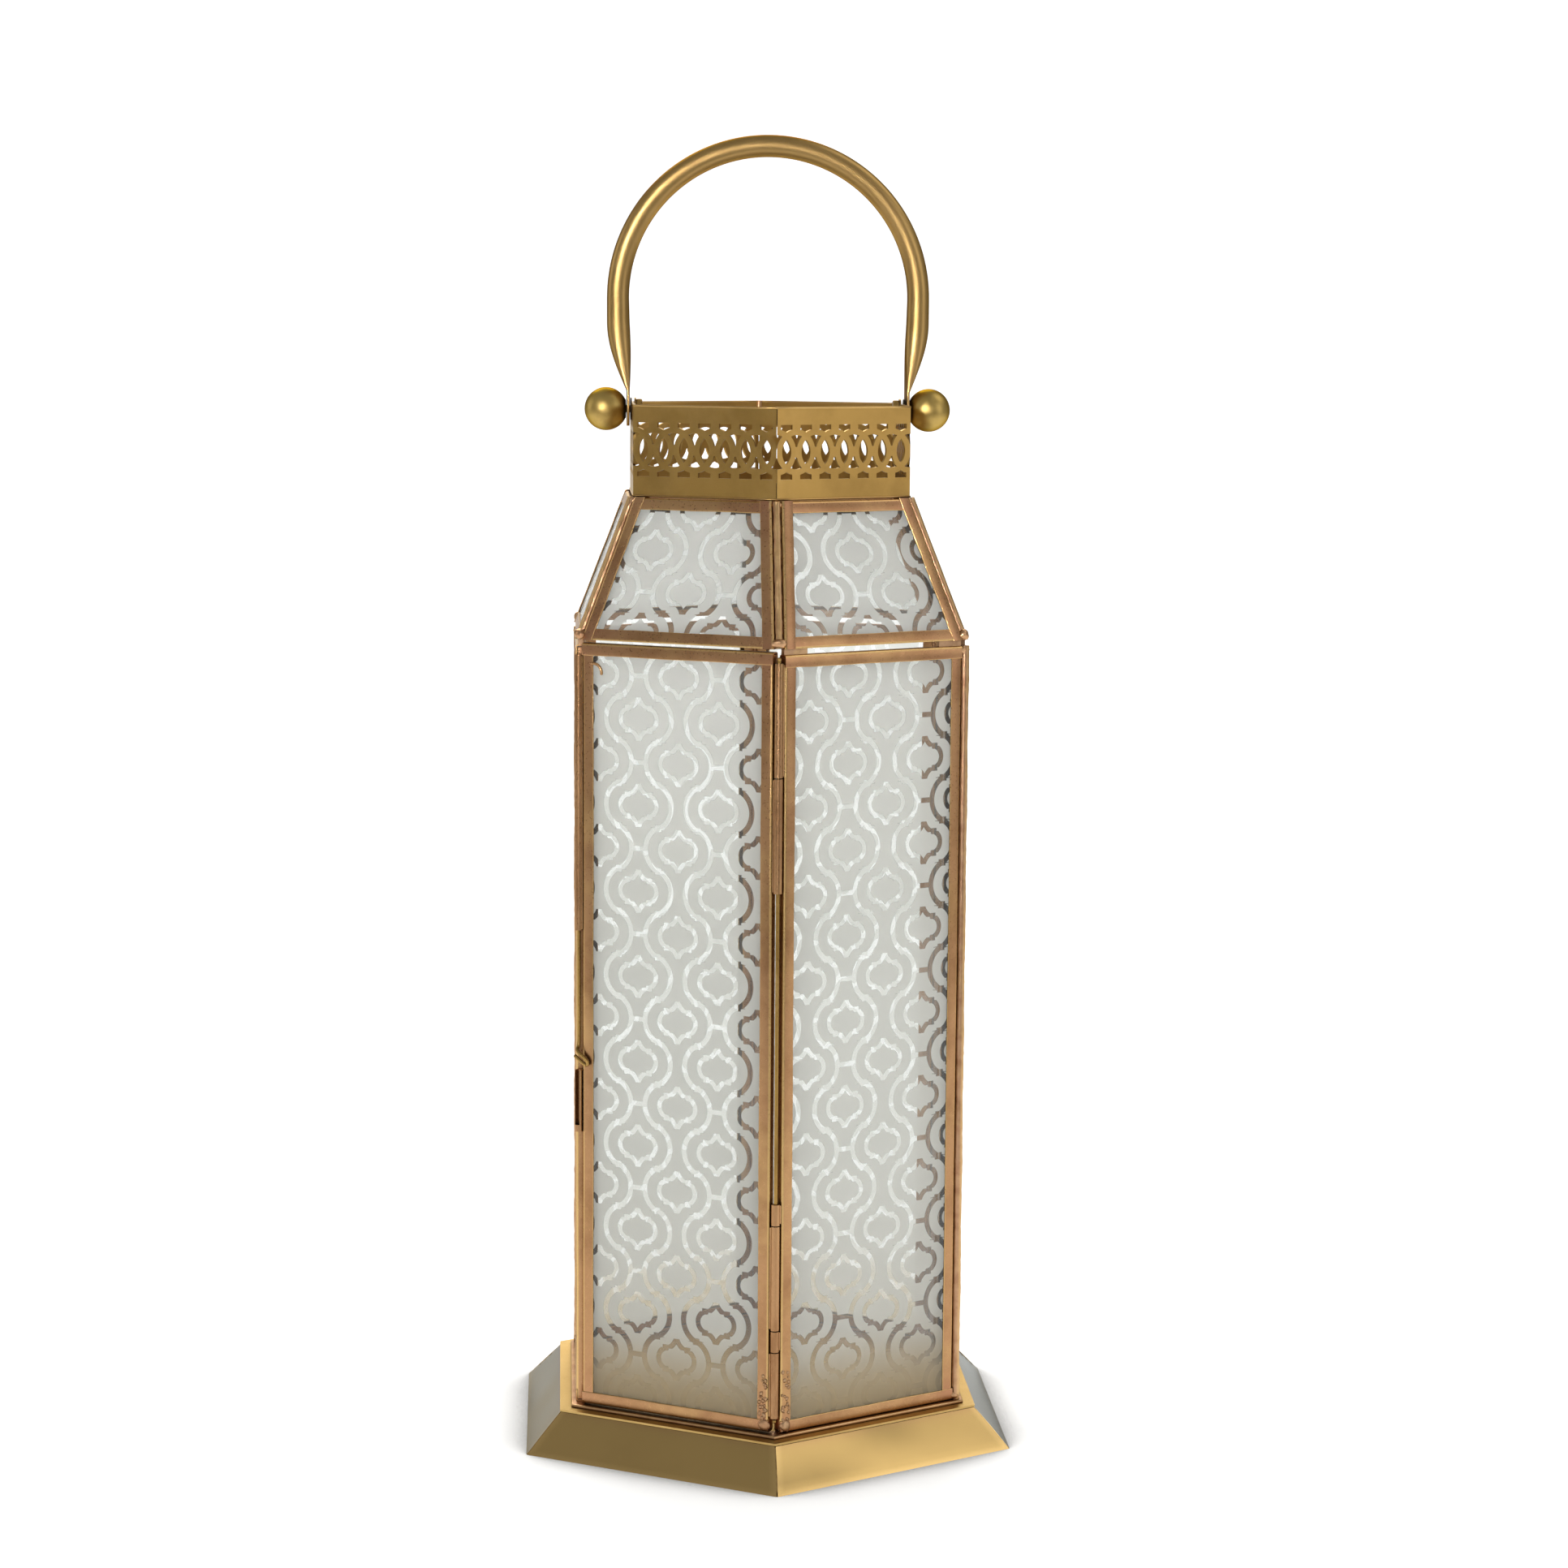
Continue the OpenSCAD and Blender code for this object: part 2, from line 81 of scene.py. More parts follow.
# ---- sizes read from the frame; the face called right looks along +X ----
BODY_APOTHEM = high("frame_right")[0]
BODY_HALF_W = high("frame_right")[1]
BODY_Z = (low("frame_right")[2], high("frame_right")[2])
PANEL_T = BODY_APOTHEM - low("frame_right")[0]
SHEET = BODY_APOTHEM - high("glass_right")[0]
DOOR_Z = (low("door_frame")[2], high("door_frame")[2])
EAVES_APOTHEM = high("roof_frame_right")[0]
EAVES_HALF_W = high("roof_frame_right")[1]
ROOF_Z = (low("roof_frame_right")[2], high("roof_frame_right")[2])
COLLAR_APOTHEM = high("collar_right")[0]
COLLAR_Z = (low("collar_right")[2], high("collar_right")[2])
BASE_APOTHEM = high("base_skirt")[0]
BASE_TOP = high("base_skirt")[2]
LEDGE_APOTHEM = high("floor_plate")[0]
LEDGE_Z = high("floor_plate")[2]
HINGE_AT = {joint["name"]: joint["pos_m"] for joint in frame["record"]["behaviour"]["joints"]
            if joint["type"] == "hinge"}
AXIS_R = -HINGE_AT["door_hinge"][1]
PIVOT_Z = HINGE_AT["handle_swing"][2]


def linear(text):
    """Turns an sRGB hex value into linear red, green and blue."""
    srgb = [int(text[i:i + 2], 16) / 255 for i in (1, 3, 5)]
    return [c / 12.92 if c <= 0.04045 else ((c + 0.055) / 1.055) ** 2.4 for c in srgb]


class LanternSizes(bpy.types.PropertyGroup):
    """Sizes of the hand-made parts that a user would change."""

    channel_w: bpy.props.FloatProperty(
        name="Channel width", description="Width of the folded channel's face round the glass",
        default=4.6 * MM, unit="LENGTH")
    fold_r: bpy.props.FloatProperty(
        name="Fold radius", description="Outside radius where the channel is folded",
        default=1.05 * MM, unit="LENGTH")
    lip_r: bpy.props.FloatProperty(
        name="Lip radius", description="Radius along the channel's cut lips",
        default=0.22 * MM, unit="LENGTH")
    lap: bpy.props.FloatProperty(
        name="Lap", description="How far a covered channel lies under the one that laps over it",
        default=0.2 * MM, unit="LENGTH")
    ripple: bpy.props.FloatProperty(
        name="Ripple", description="How far hand-folded channel wanders from straight",
        default=0.11 * MM, unit="LENGTH")
    roof_top_r: bpy.props.FloatProperty(
        name="Roof top radius", description="Distance of the roof's upper corners from the middle",
        default=61.6 * MM, unit="LENGTH")
    sheet_t: bpy.props.FloatProperty(
        name="Base sheet", description="Thickness of the base's leaning plates",
        default=1.2 * MM, unit="LENGTH")
    base_seam: bpy.props.FloatProperty(
        name="Base seam", description="Half the open seam at each corner of the base",
        default=0.35 * MM, unit="LENGTH")
    rim_r: bpy.props.FloatProperty(
        name="Rim radius", description="Radius of the dressed edge along the collar's rims",
        default=0.42 * MM, unit="LENGTH")


def colour(text, title, note):
    """A colour setting with its default given as sRGB hex."""
    return bpy.props.FloatVectorProperty(name=title, description=note, default=linear(text),
                                         subtype="COLOR", size=3, min=0.0, max=1.0)


class LanternColours(bpy.types.PropertyGroup):
    """Colours of the lantern's metals and glass."""

    copper: colour("#B48A62", "Copper brass", "Main colour of the folded channels")
    copper_dark: colour("#6E4426", "Copper tarnish", "Brown film in the channels' hollows")
    copper_gold: colour("#E0BC7C", "Copper rubbed", "Where the channels' edges are rubbed bright")
    pink: colour("#B98166", "Heat tint", "Pink copper bloom left by the soldering iron")
    sheet: colour("#B08C4E", "Sheet brass", "Collar's sheet")
    sheet_dark: colour("#6B4E26", "Sheet tarnish", "Brown film on the collar")
    skirt: colour("#C4A468", "Skirt brass", "Base's sheet")
    handle: colour("#B2915A", "Handle brass", "Satin tube of the handle")
    knob: colour("#BC9F5C", "Knob brass", "Satin turned balls")
    solder: colour("#B59A7C", "Solder", "Dull tin solder")
    frost: colour("#FAFAF5", "Frost", "Etched face of the glass")


# ---- surfaces ----
def unit(v):
    """Vectors along the last axis, scaled to length one."""
    return v / np.linalg.norm(v, axis=-1, keepdims=True)


def rounded_outline(corners, radii, steps=5):
    """A polygon whose corners are arcs tangent to both sides.

    Along an arc the point is centre + (sin((1-t)s) a + sin(ts) b) / sin(s), for t from 0 to 1, where
    a and b reach from the centre to the two tangent points and s is the angle between them.
    Returns the outline and how far each point is round its arc, 1 in the middle and 0 at its ends.
    """
    points = np.array(corners, float)
    before = unit(np.roll(points, 1, 0) - points)
    after = unit(np.roll(points, -1, 0) - points)
    radii = np.array(radii, float)[:, None]
    half = 0.5 * np.arccos(np.clip((before * after).sum(1), -1, 1))[:, None]
    centre = points + unit(before + after) * radii / np.sin(half)
    a = (points + before * radii / np.tan(half) - centre)[:, None]
    b = (points + after * radii / np.tan(half) - centre)[:, None]
    turn = (math.pi - 2 * half)[:, None]
    t = np.linspace(0, 1, steps)[None, :, None]
    arc = (np.sin((1 - t) * turn) * a + np.sin(t * turn) * b) / np.sin(turn)
    worn = np.sin(math.pi * t) * np.ones_like(turn)
    return (centre[:, None] + arc).reshape(-1, 2), worn.reshape(-1)


def grid_quads(rows, columns, around=False, along=False):
    """Four-sided faces over a grid of points, wrapped round its columns or its rows if asked."""
    i, j = np.meshgrid(np.arange(rows - (not along)), np.arange(columns - (not around)), indexing="ij")
    i_next = (i + 1) % rows
    j_next = (j + 1) % columns
    quads = [i * columns + j, i * columns + j_next, i_next * columns + j_next, i_next * columns + j]
    return np.stack(quads, -1).reshape(-1, 4).tolist()


def carried(path, side, out, outline, capped=True):
    """A closed outline carried along a path: path(i) + x(j) side(i) + y(j) out(i).

    The outline runs counter-clockwise in (side, out), and side x out points along the path.
    """
    outline = np.broadcast_to(outline, (len(path),) + np.shape(outline)[-2:])
    points = path[:, None] + outline[..., :1] * side[:, None] + outline[..., 1:] * out[:, None]
    rings, around = points.shape[:2]
    faces = grid_quads(rings, around, around=True, along=not capped)
    if capped:
        faces.append(list(range(around))[::-1])
        faces.append(list(range((rings - 1) * around, rings * around)))
    return points, faces


def ripple(t, seed, waves=(2.3, 5.1, 11.7)):
    """A sum of three sines of t in 0..1 with seeded phases, between about -1 and 1."""
    phases = np.random.default_rng(seed).uniform(0, 2 * math.pi, len(waves))
    heights = np.array([0.55, 0.3, 0.15])
    return (heights * np.sin(2 * math.pi * np.multiply.outer(t, waves) + phases)).sum(-1)


def facing(normal, lean=0.0):
    """Right, up and outward unit vectors of a face that looks along `normal` degrees and leans back."""
    a = math.radians(normal)
    level = np.array([math.cos(a), math.sin(a), 0.0])
    right = np.array([-math.sin(a), math.cos(a), 0.0])
    up = UP * math.cos(lean) - level * math.sin(lean)
    out = level * math.cos(lean) + UP * math.sin(lean)
    return right, up, out


def corner_way(corner):
    """Level unit vector from the middle towards a corner."""
    a = math.radians(corner)
    return np.array([math.cos(a), math.sin(a), 0.0])


class Shell:
    """Gathers closed surfaces and their point values, and makes one mesh object of them."""

    def __init__(self, name):
        self.name = name
        self.points = []
        self.faces = []
        self.values = {"worn": [], "joint": []}
        self.count = 0

    def add(self, surface, worn=0.0, joint=0.0):
        """Adds a surface, with each point's edge wear and painted sheen and how near a soldered joint it is.
        """
        points, faces = surface
        flat = np.asarray(points).reshape(-1, 3)
        self.points.append(flat)
        self.faces += [[k + self.count for k in face] for face in faces]
        self.count += len(flat)
        shape = np.shape(points)[:-1]
        for key, value in (("worn", worn), ("joint", joint)):
            self.values[key].append(np.broadcast_to(value, shape).reshape(-1))

    def make(self, material, body, *replaced, slot, smooth=35):
        """Makes the object, smooth up to an edge angle in degrees, riding on a body."""
        mesh = bpy.data.meshes.new(self.name)
        mesh.from_pydata(np.concatenate(self.points).tolist(), [], self.faces)
        for key, parts in self.values.items():
            mesh.attributes.new(key, "FLOAT", "POINT").data.foreach_set("value", np.concatenate(parts))
        mesh.shade_smooth()
        mesh.set_sharp_from_angle(angle=math.radians(smooth))
        mesh.materials.append(material)
        piece = bpy.data.objects.new(self.name, mesh)
        bpy.context.scene.collection.objects.link(piece)
        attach(piece, body)
        if replaced:
            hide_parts(*replaced)
        return piece


# ---- folded channel ----
def channel_outline(sizes):
    """U section, x from the outer edge towards the glass and y outwards, glass pocket open at the lips."""
    w = sizes.channel_w
    corners = [(0, -PANEL_T), (w, -PANEL_T), (w, SHEET - PANEL_T), (SHEET, SHEET - PANEL_T),
               (SHEET, -SHEET), (w, -SHEET), (w, 0), (0, 0)]
    inner = 0.08 * MM
    lip = sizes.lip_r
    return rounded_outline(corners, [sizes.fold_r, lip, lip, inner, inner, lip, lip, sizes.fold_r])


def channel(shell, sizes, start, end, inward, out, seed, sink=0.0, level=None):
    """A folded channel carried straight from start to end, with a seeded ripple.

    With level, the two end rings slide along the channel until they lie at those two heights.
    """
    if np.dot(end - start, np.cross(inward, out)) < 0:
        start, end = end, start
        level = level[::-1] if level else None
    length = np.linalg.norm(end - start)
    rings = max(6, int(length / (6 * MM)))
    t = np.linspace(0, 1, rings)
    along = (end - start) / length
    outline, worn = channel_outline(sizes)
    wander = sizes.ripple * ripple(t, seed)
    rise = 0.6 * sizes.ripple * ripple(t, seed + 500) - sink
    path = start + np.outer(t, end - start) + np.outer(rise, out)
    section = np.repeat(outline[None], rings, 0)
    lipward = np.clip(outline[:, 0] / sizes.channel_w, 0, 1)
    section[..., 0] += wander[:, None] * lipward
    surface, faces = carried(path, np.tile(inward, (rings, 1)), np.tile(out, (rings, 1)), section)
    if level:
        for ring, height in ((0, level[0]), (-1, level[1])):
            slide = (height - surface[ring, :, 2]) / along[2]
            surface[ring] += np.outer(slide, along)
    # the folds and lips carry edge wear and a painted highlight, stronger on the outer face
    outer_face = outline[:, 1] > -0.5 * PANEL_T
    near_end = np.minimum(t, 1 - t) * length
    joint = np.exp(-near_end / (9 * MM))[:, None] * np.ones(len(outline))
    shell.add((surface, faces), worn=worn * (0.4 + 0.6 * outer_face), joint=joint)


def side_frame(name, normal, z, node, body, material, sizes, seed):
    """Four channels round a side's glass; the level ones run full width and lap over the upright ones."""
    shell = Shell(name)
    right, up, out = facing(normal)
    face = out * BODY_APOTHEM
    half = BODY_HALF_W
    for k, (height, inward) in enumerate(((z[0], up), (z[1], -up))):
        channel(shell, sizes, face - right * half + UP * height, face + right * half + UP * height,
                inward, out, seed + k)
    tuck = 1.0 * MM
    for k, side in enumerate((-1, 1)):
        edge = face + right * side * half
        channel(shell, sizes, edge + UP * (z[0] + tuck), edge + UP * (z[1] - tuck),
                -side * right, out, seed + 10 + k, sink=sizes.lap)
    return shell.make(material, body, node, slot="aged_brass_channel")


def roof_lean(sizes):
    """Angle of the roof's glass from upright."""
    run = EAVES_APOTHEM - sizes.roof_top_r * COS30
    return math.atan(run / (ROOF_Z[1] - ROOF_Z[0]))


def roof_frame(name, normal, node, material, sizes, seed):
    """Four channels round a roof pane; the leaning ones run full length and lap over the level ones."""
    shell = Shell(name)
    lean = roof_lean(sizes)
    right, up, out = facing(normal, lean)
    slope = (ROOF_Z[1] - ROOF_Z[0]) / math.cos(lean)
    foot = facing(normal)[2] * EAVES_APOTHEM + UP * ROOF_Z[0]
    narrowing = (EAVES_APOTHEM - sizes.roof_top_r * COS30) / (COS30 * 2) / slope

    def edge_at(v, side):
        return foot + up * v + right * side * (EAVES_HALF_W - narrowing * v)

    for k, (v, inward) in enumerate(((0, up), (slope, -up))):
        tuck = right * 1.5 * MM
        channel(shell, sizes, edge_at(v, -1) + tuck, edge_at(v, 1) - tuck, inward, out, seed + k,
                sink=sizes.lap)
        points = shell.points[-1]
        points[:, 2] = np.clip(points[:, 2], ROOF_Z[0] + 0.01 * MM, ROOF_Z[1] - 0.01 * MM)
    for k, side in enumerate((-1, 1)):
        start = edge_at(0, side)
        end = edge_at(slope, side)
        inward = unit(np.cross(out, end - start)) * side
        channel(shell, sizes, start, end, inward, out, seed + 10 + k, level=ROOF_Z)
    return shell.make(material, "lantern", node, slot="aged_brass_channel")


# ---- solder ----
def bead(shell, start, end, out, half_w, depth, seed, rings=64, joint=0.5, level=None):
    """A run of solder: a rounded wedge carried from start to end, its width rippling like cooled metal.

    Its section is x = w cos a, y = w sin a for sin a over 0 and y = d sin a below.
    """
    a = np.linspace(0, 2 * math.pi, 20, endpoint=False)
    t = np.linspace(0, 1, rings)
    side = unit(np.cross(out, end - start))
    swell = 1 + 0.10 * ripple(t, seed, (6.2, 17.3, 41.0)) + 0.04 * ripple(t, seed + 9, (63.0, 88.0, 117.0))
    section = np.stack([half_w * np.cos(a), np.where(np.sin(a) > 0, half_w, depth) * np.sin(a)], -1)
    section = section[None] * swell[:, None, None]
    path = start + np.outer(t, end - start)
    surface, faces = carried(path, np.tile(side, (rings, 1)), np.tile(out, (rings, 1)), section)
    if level:
        surface[..., 2] = np.clip(surface[..., 2], *level)
    shell.add((surface, faces), worn=np.clip(np.sin(a), 0, 1) ** 4, joint=joint)


def lump(shell, centre, radii, axes, seed, joint=1.0, rows=14, columns=20):
    """A blob of solder: an ellipsoid whose radius swells by seeded waves, closed at both poles."""
    u = np.linspace(0, math.pi, rows)
    v = np.linspace(0, 2 * math.pi, columns, endpoint=False)
    ball = np.stack([np.sin(u)[:, None] * np.cos(v), np.sin(u)[:, None] * np.sin(v),
                     np.cos(u)[:, None] * np.ones(columns)], -1)
    rng = np.random.default_rng(seed)
    waves = rng.normal(size=(4, 3)) * 2.2
    swell = 1 + 0.06 * np.sin(ball @ waves.T + rng.uniform(0, 6, 4)).sum(-1)
    points = centre + (ball * swell[..., None] * np.array(radii)) @ np.array(axes)
    flat = points.reshape(-1, 3)[columns - 1:-columns + 1]
    inner = grid_quads(rows - 2, columns, around=True)
    faces = [[k + 1 for k in reversed(face)] for face in inner]
    last = len(flat) - 1
    ring = np.arange(columns)
    faces += [[0, 1 + j, 1 + (j + 1) % columns] for j in ring]
    first = last - columns
    faces += [[last, first + (j + 1) % columns, first + j] for j in ring]
    shell.add((flat, faces), worn=0.3, joint=joint)


# ---- base ----
def slab(front, back):
    """A closed slab between two grids of points, with a strip of faces round their edges."""
    rows, columns = front.shape[:2]
    points = np.concatenate([front.reshape(-1, 3), back.reshape(-1, 3)])
    count = rows * columns
    faces = grid_quads(rows, columns)
    faces += [[k + count for k in reversed(face)] for face in grid_quads(rows, columns)]
    index = np.arange(count).reshape(rows, columns)
    rim = np.concatenate([index[0, :-1], index[:-1, -1], index[-1, :0:-1], index[:0:-1, 0]])
    ahead = np.roll(rim, -1)
    faces += np.stack([ahead, rim, rim + count, ahead + count], -1).tolist()
    return points, faces


def hexagon_run(apothem, z, per_side=8):
    """Points round a level hexagon and the mitred sideways vectors that keep an outline parallel."""
    t = np.linspace(0, 1, per_side, endpoint=False)[None, :, None]
    ways = np.array([corner_way(c) for c in CORNERS]) / COS30
    side = (ways[:, None] * (1 - t) + np.roll(ways, -1, 0)[:, None] * t).reshape(-1, 3)
    return side * apothem + UP * z, side


def hexagon_bead(shell, apothem, z, outline, worn, joint, seed, wobble):
    """An outline carried round a level hexagon; its x points outwards and its y up."""
    path, side = hexagon_run(apothem, z)
    t = np.linspace(0, 1, len(path), endpoint=False)
    section = outline[None] * (1 + wobble * ripple(t, seed, (3, 8, 14)))[:, None, None]
    up = np.tile(UP, (len(path), 1))
    points, faces = carried(path, side, up, section, capped=False)
    shell.add((points, [face[::-1] for face in faces]), worn=worn, joint=joint)


# ---- finishes ----
def add(tree, kind, inputs=None, **settings):
    """Adds one node with its settings; each input is a plain value or a socket to link from."""
    made = tree.nodes.new(kind)
    for key, value in settings.items():
        setattr(made, key, value)
    for key, value in (inputs or {}).items():
        if isinstance(value, bpy.types.NodeSocket):
            tree.links.new(value, made.inputs[key])
        else:
            made.inputs[key].default_value = value
    return made


def new_material(name):
    """An empty node material and its output node."""
    material = bpy.data.materials.new(name)
    material.use_nodes = True
    material.node_tree.nodes.clear()
    return material, material.node_tree


def opaque(rgb):
    """A colour with full alpha."""
    return (*rgb, 1.0)


def metal(name, base, dark, bright, heat, rough, film=0.45, film_size=18 * MM, grain=0.9 * MM,
          rubbed=0.7, relief=0.02 * MM, streak=(1, 1, 1), uneven=1.0, edge_tint=(0.72, 0.68, 0.60)):
    """Bare metal under a thin, uneven film.

    The film clouds over film_size, the roughness and relief vary over grain, as much as uneven says.
    Edges in the wear mask go towards the bright colour, as wear and as a painted highlight; joints carry
    the heat tint; grooves are darkened by painted shade from ambient occlusion; and edge_tint dulls the
    metal where it turns away from the eye.
    """
    material, tree = new_material(name)
    place = add(tree, "ShaderNodeTexCoord").outputs["Object"]
    drawn = add(tree, "ShaderNodeMapping", {"Vector": place, "Scale": streak}).outputs[0]
    cloud = add(tree, "ShaderNodeTexNoise", {"Vector": drawn, "Scale": 1 / film_size, "Detail": 6.0,
                                             "Roughness": 0.62}).outputs[0]
    fine = add(tree, "ShaderNodeTexNoise", {"Vector": drawn, "Scale": 1 / grain, "Detail": 3.0,
                                            "Roughness": 0.55}).outputs[0]
    filmed = add(tree, "ShaderNodeMapRange", {"Value": cloud, "From Min": 0.40, "From Max": 0.70,
                                              "To Max": film}, interpolation_type="SMOOTHSTEP").outputs[0]
    worn = add(tree, "ShaderNodeAttribute", attribute_name="worn").outputs["Fac"]
    joint = add(tree, "ShaderNodeAttribute", attribute_name="joint").outputs["Fac"]
    patchy = add(tree, "ShaderNodeMath", {0: fine, 1: 0.5, 2: 0.55}, operation="MULTIPLY_ADD").outputs[0]
    # edge wear and painted highlight: the edge mask, broken up by fine noise, lightens folds, crests and
    # rims towards the bright colour
    rubbing = add(tree, "ShaderNodeMath", {0: worn, 1: patchy}, operation="MULTIPLY").outputs[0]
    polish = add(tree, "ShaderNodeMath", {0: rubbing, 1: rubbed}, operation="MULTIPLY").outputs[0]
    bloom = add(tree, "ShaderNodeMath", {0: cloud, 1: 1.2, 2: -0.2}, operation="MULTIPLY_ADD").outputs[0]
    heated = add(tree, "ShaderNodeMath", {0: joint, 1: bloom}, operation="MULTIPLY").outputs[0]
    patch = add(tree, "ShaderNodeTexNoise", {"Vector": drawn, "Scale": 0.4 / film_size, "Detail": 4.0,
                                             "Roughness": 0.7, "Distortion": 0.6}).outputs[0]
    gilt = add(tree, "ShaderNodeMapRange", {"Value": patch, "From Min": 0.48, "From Max": 0.66,
                                            "To Max": 0.3 * uneven},
               interpolation_type="SMOOTHSTEP").outputs[0]
    # painted shade: ambient occlusion darkens the colour in grooves and hollows
    groove = add(tree, "ShaderNodeAmbientOcclusion", {"Distance": 2.5 * MM}, samples=6).outputs["AO"]
    grime = add(tree, "ShaderNodeMapRange", {"Value": groove, "From Min": 0.15, "From Max": 0.75,
                                             "To Min": 0.85, "To Max": 0.0}).outputs[0]
    shade = opaque(base)
    for amount, layer in ((gilt, bright), (filmed, dark), (heated, heat), (polish, bright),
                          (grime, linear("#2E1F12"))):
        shade = add(tree, "ShaderNodeMix", {0: amount, 6: shade, 7: opaque(layer)},
                    data_type="RGBA").outputs[2]
    roughness = add(tree, "ShaderNodeMapRange", {"Value": fine, "From Min": 0.3, "From Max": 0.7,
                                                 "To Min": rough - 0.05 * uneven,
                                                 "To Max": rough + 0.06 * uneven}).outputs[0]
    bump = add(tree, "ShaderNodeBump", {"Height": fine, "Distance": relief, "Strength": 1.0}).outputs[0]
    surface = add(tree, "ShaderNodeBsdfPrincipled", {"Base Color": shade, "Metallic": 1.0,
                                                     "Roughness": roughness, "Normal": bump,
                                                     "Specular Tint": opaque(edge_tint)})
    add(tree, "ShaderNodeOutputMaterial", {"Surface": surface.outputs[0]})
    return material


# Etched trellis, in millimetres on the face: every cell is folded about its medallion, so across is
# the distance from the cell's middle line and rise the distance from its middle height. The wavy
# bars are arcs; a medallion has two bulging sides and four hollow shoulders that end in points.
TRELLIS_HEIGHT = 31.9
TRELLIS = (
    ("s", "MULTIPLY", "along", 1000.0),
    ("h", "MULTIPLY", "height", 1000.0),
    ("from_row", "SUBTRACT", "h", "row_start"),
    ("rows", "DIVIDE", "from_row", TRELLIS_HEIGHT / 2),
    ("row", "ROUND", "rows"),
    ("part", "SUBTRACT", "rows", "row"),
    ("dz", "MULTIPLY", "part", TRELLIS_HEIGHT / 2),
    ("odd", "FLOORED_MODULO", "row", 2.0),
    ("shift", "MULTIPLY_ADD", "odd", "half_period", "column_start"),
    ("from_column", "SUBTRACT", "s", "shift"),
    ("dx", "WRAP", "from_column", "half_period", "minus_half_period"),
    ("across", "ABSOLUTE", "dx"),
    ("rise", "ABSOLUTE", "dz"),
    ("dz2", "MULTIPLY", "dz", "dz"),
    # wavy bar: an arc of radius 8.9 about a point 4.7 off the middle line
    ("bar_x", "SUBTRACT", "across", 4.7),
    ("bar_x_out", "MAXIMUM", "bar_x", 0.0),
    ("bar_2", "MULTIPLY_ADD", "bar_x_out", "bar_x_out", "dz2"),
    ("bar_r", "SQRT", "bar_2"),
    ("bar_off", "SUBTRACT", "bar_r", 8.9),
    ("bar_gap", "ABSOLUTE", "bar_off"),
    ("bar_line", "SUBTRACT", "bar_gap", 1.05),
    ("bar_start", "SUBTRACT", 5.2, "across"),
    ("bar", "MAXIMUM", "bar_line", "bar_start"),
    # knot where two bars meet
    ("knot_x", "SUBTRACT", "across", 8.25),
    ("knot_dx", "ABSOLUTE", "knot_x"),
    ("knot_z", "SUBTRACT", "rise", TRELLIS_HEIGHT / 4),
    ("knot_dz", "ABSOLUTE", "knot_z"),
    ("knot_d", "MAXIMUM", "knot_dx", "knot_dz"),
    ("knot", "SUBTRACT", "knot_d", 1.25),
    # medallion's bulging sides
    ("side_x", "SUBTRACT", "across", 3.3),
    ("side_2", "MULTIPLY_ADD", "side_x", "side_x", "dz2"),
    ("side_r", "SQRT", "side_2"),
    ("side_off", "SUBTRACT", "side_r", 4.2),
    ("side_gap", "ABSOLUTE", "side_off"),
    ("side_line", "SUBTRACT", "side_gap", 0.95),
    ("side_end", "SUBTRACT", "rise", 4.0),
    ("side_start", "SUBTRACT", 3.3, "across"),
    ("side_far", "MAXIMUM", "side_end", "side_start"),
    ("side", "MAXIMUM", "side_line", "side_far"),
    # medallion's hollow shoulders, up to the points
    ("tip_x", "SUBTRACT", "across", 6.0),
    ("tip_z", "SUBTRACT", "rise", 9.5),
    ("tip_x2", "MULTIPLY", "tip_x", "tip_x"),
    ("tip_2", "MULTIPLY_ADD", "tip_z", "tip_z", "tip_x2"),
    ("tip_r", "SQRT", "tip_2"),
    ("tip_off", "SUBTRACT", "tip_r", 6.0),
    ("tip_gap", "ABSOLUTE", "tip_off"),
    ("tip_line", "SUBTRACT", "tip_gap", 0.95),
    ("tip_low", "SUBTRACT", 3.9, "rise"),
    ("tip_wide", "SUBTRACT", "across", 4.8),
    ("tip_far", "MAXIMUM", "tip_low", "tip_wide"),
    ("tip", "MAXIMUM", "tip_line", "tip_far"),
    # square cusps where the sides meet the shoulders
    ("cusp_x", "SUBTRACT", "across", 4.7),
    ("cusp_dx", "ABSOLUTE", "cusp_x"),
    ("cusp_z", "SUBTRACT", "rise", 4.1),
    ("cusp_dz", "ABSOLUTE", "cusp_z"),
    ("cusp_d", "MAXIMUM", "cusp_dx", "cusp_dz"),
    ("cusp", "SUBTRACT", "cusp_d", 1.1),
    # short bar that joins two wavy bars, in every second row
    ("tie_x", "SUBTRACT", 13.0, "across"),
    ("tie_z", "SUBTRACT", "rise", 0.95),
    ("tie_far", "MAXIMUM", "tie_x", "tie_z"),
    ("not_odd", "SUBTRACT", 1.0, "odd"),
    ("tie", "MULTIPLY_ADD", "not_odd", 10.0, "tie_far"),
    # nearest of them all
    ("near_1", "MINIMUM", "bar", "knot"),
    ("near_2", "MINIMUM", "side", "tip"),
    ("near_3", "MINIMUM", "near_1", "near_2"),
    ("near_4", "MINIMUM", "near_3", "cusp"),
    ("near", "MINIMUM", "near_4", "tie"),
)


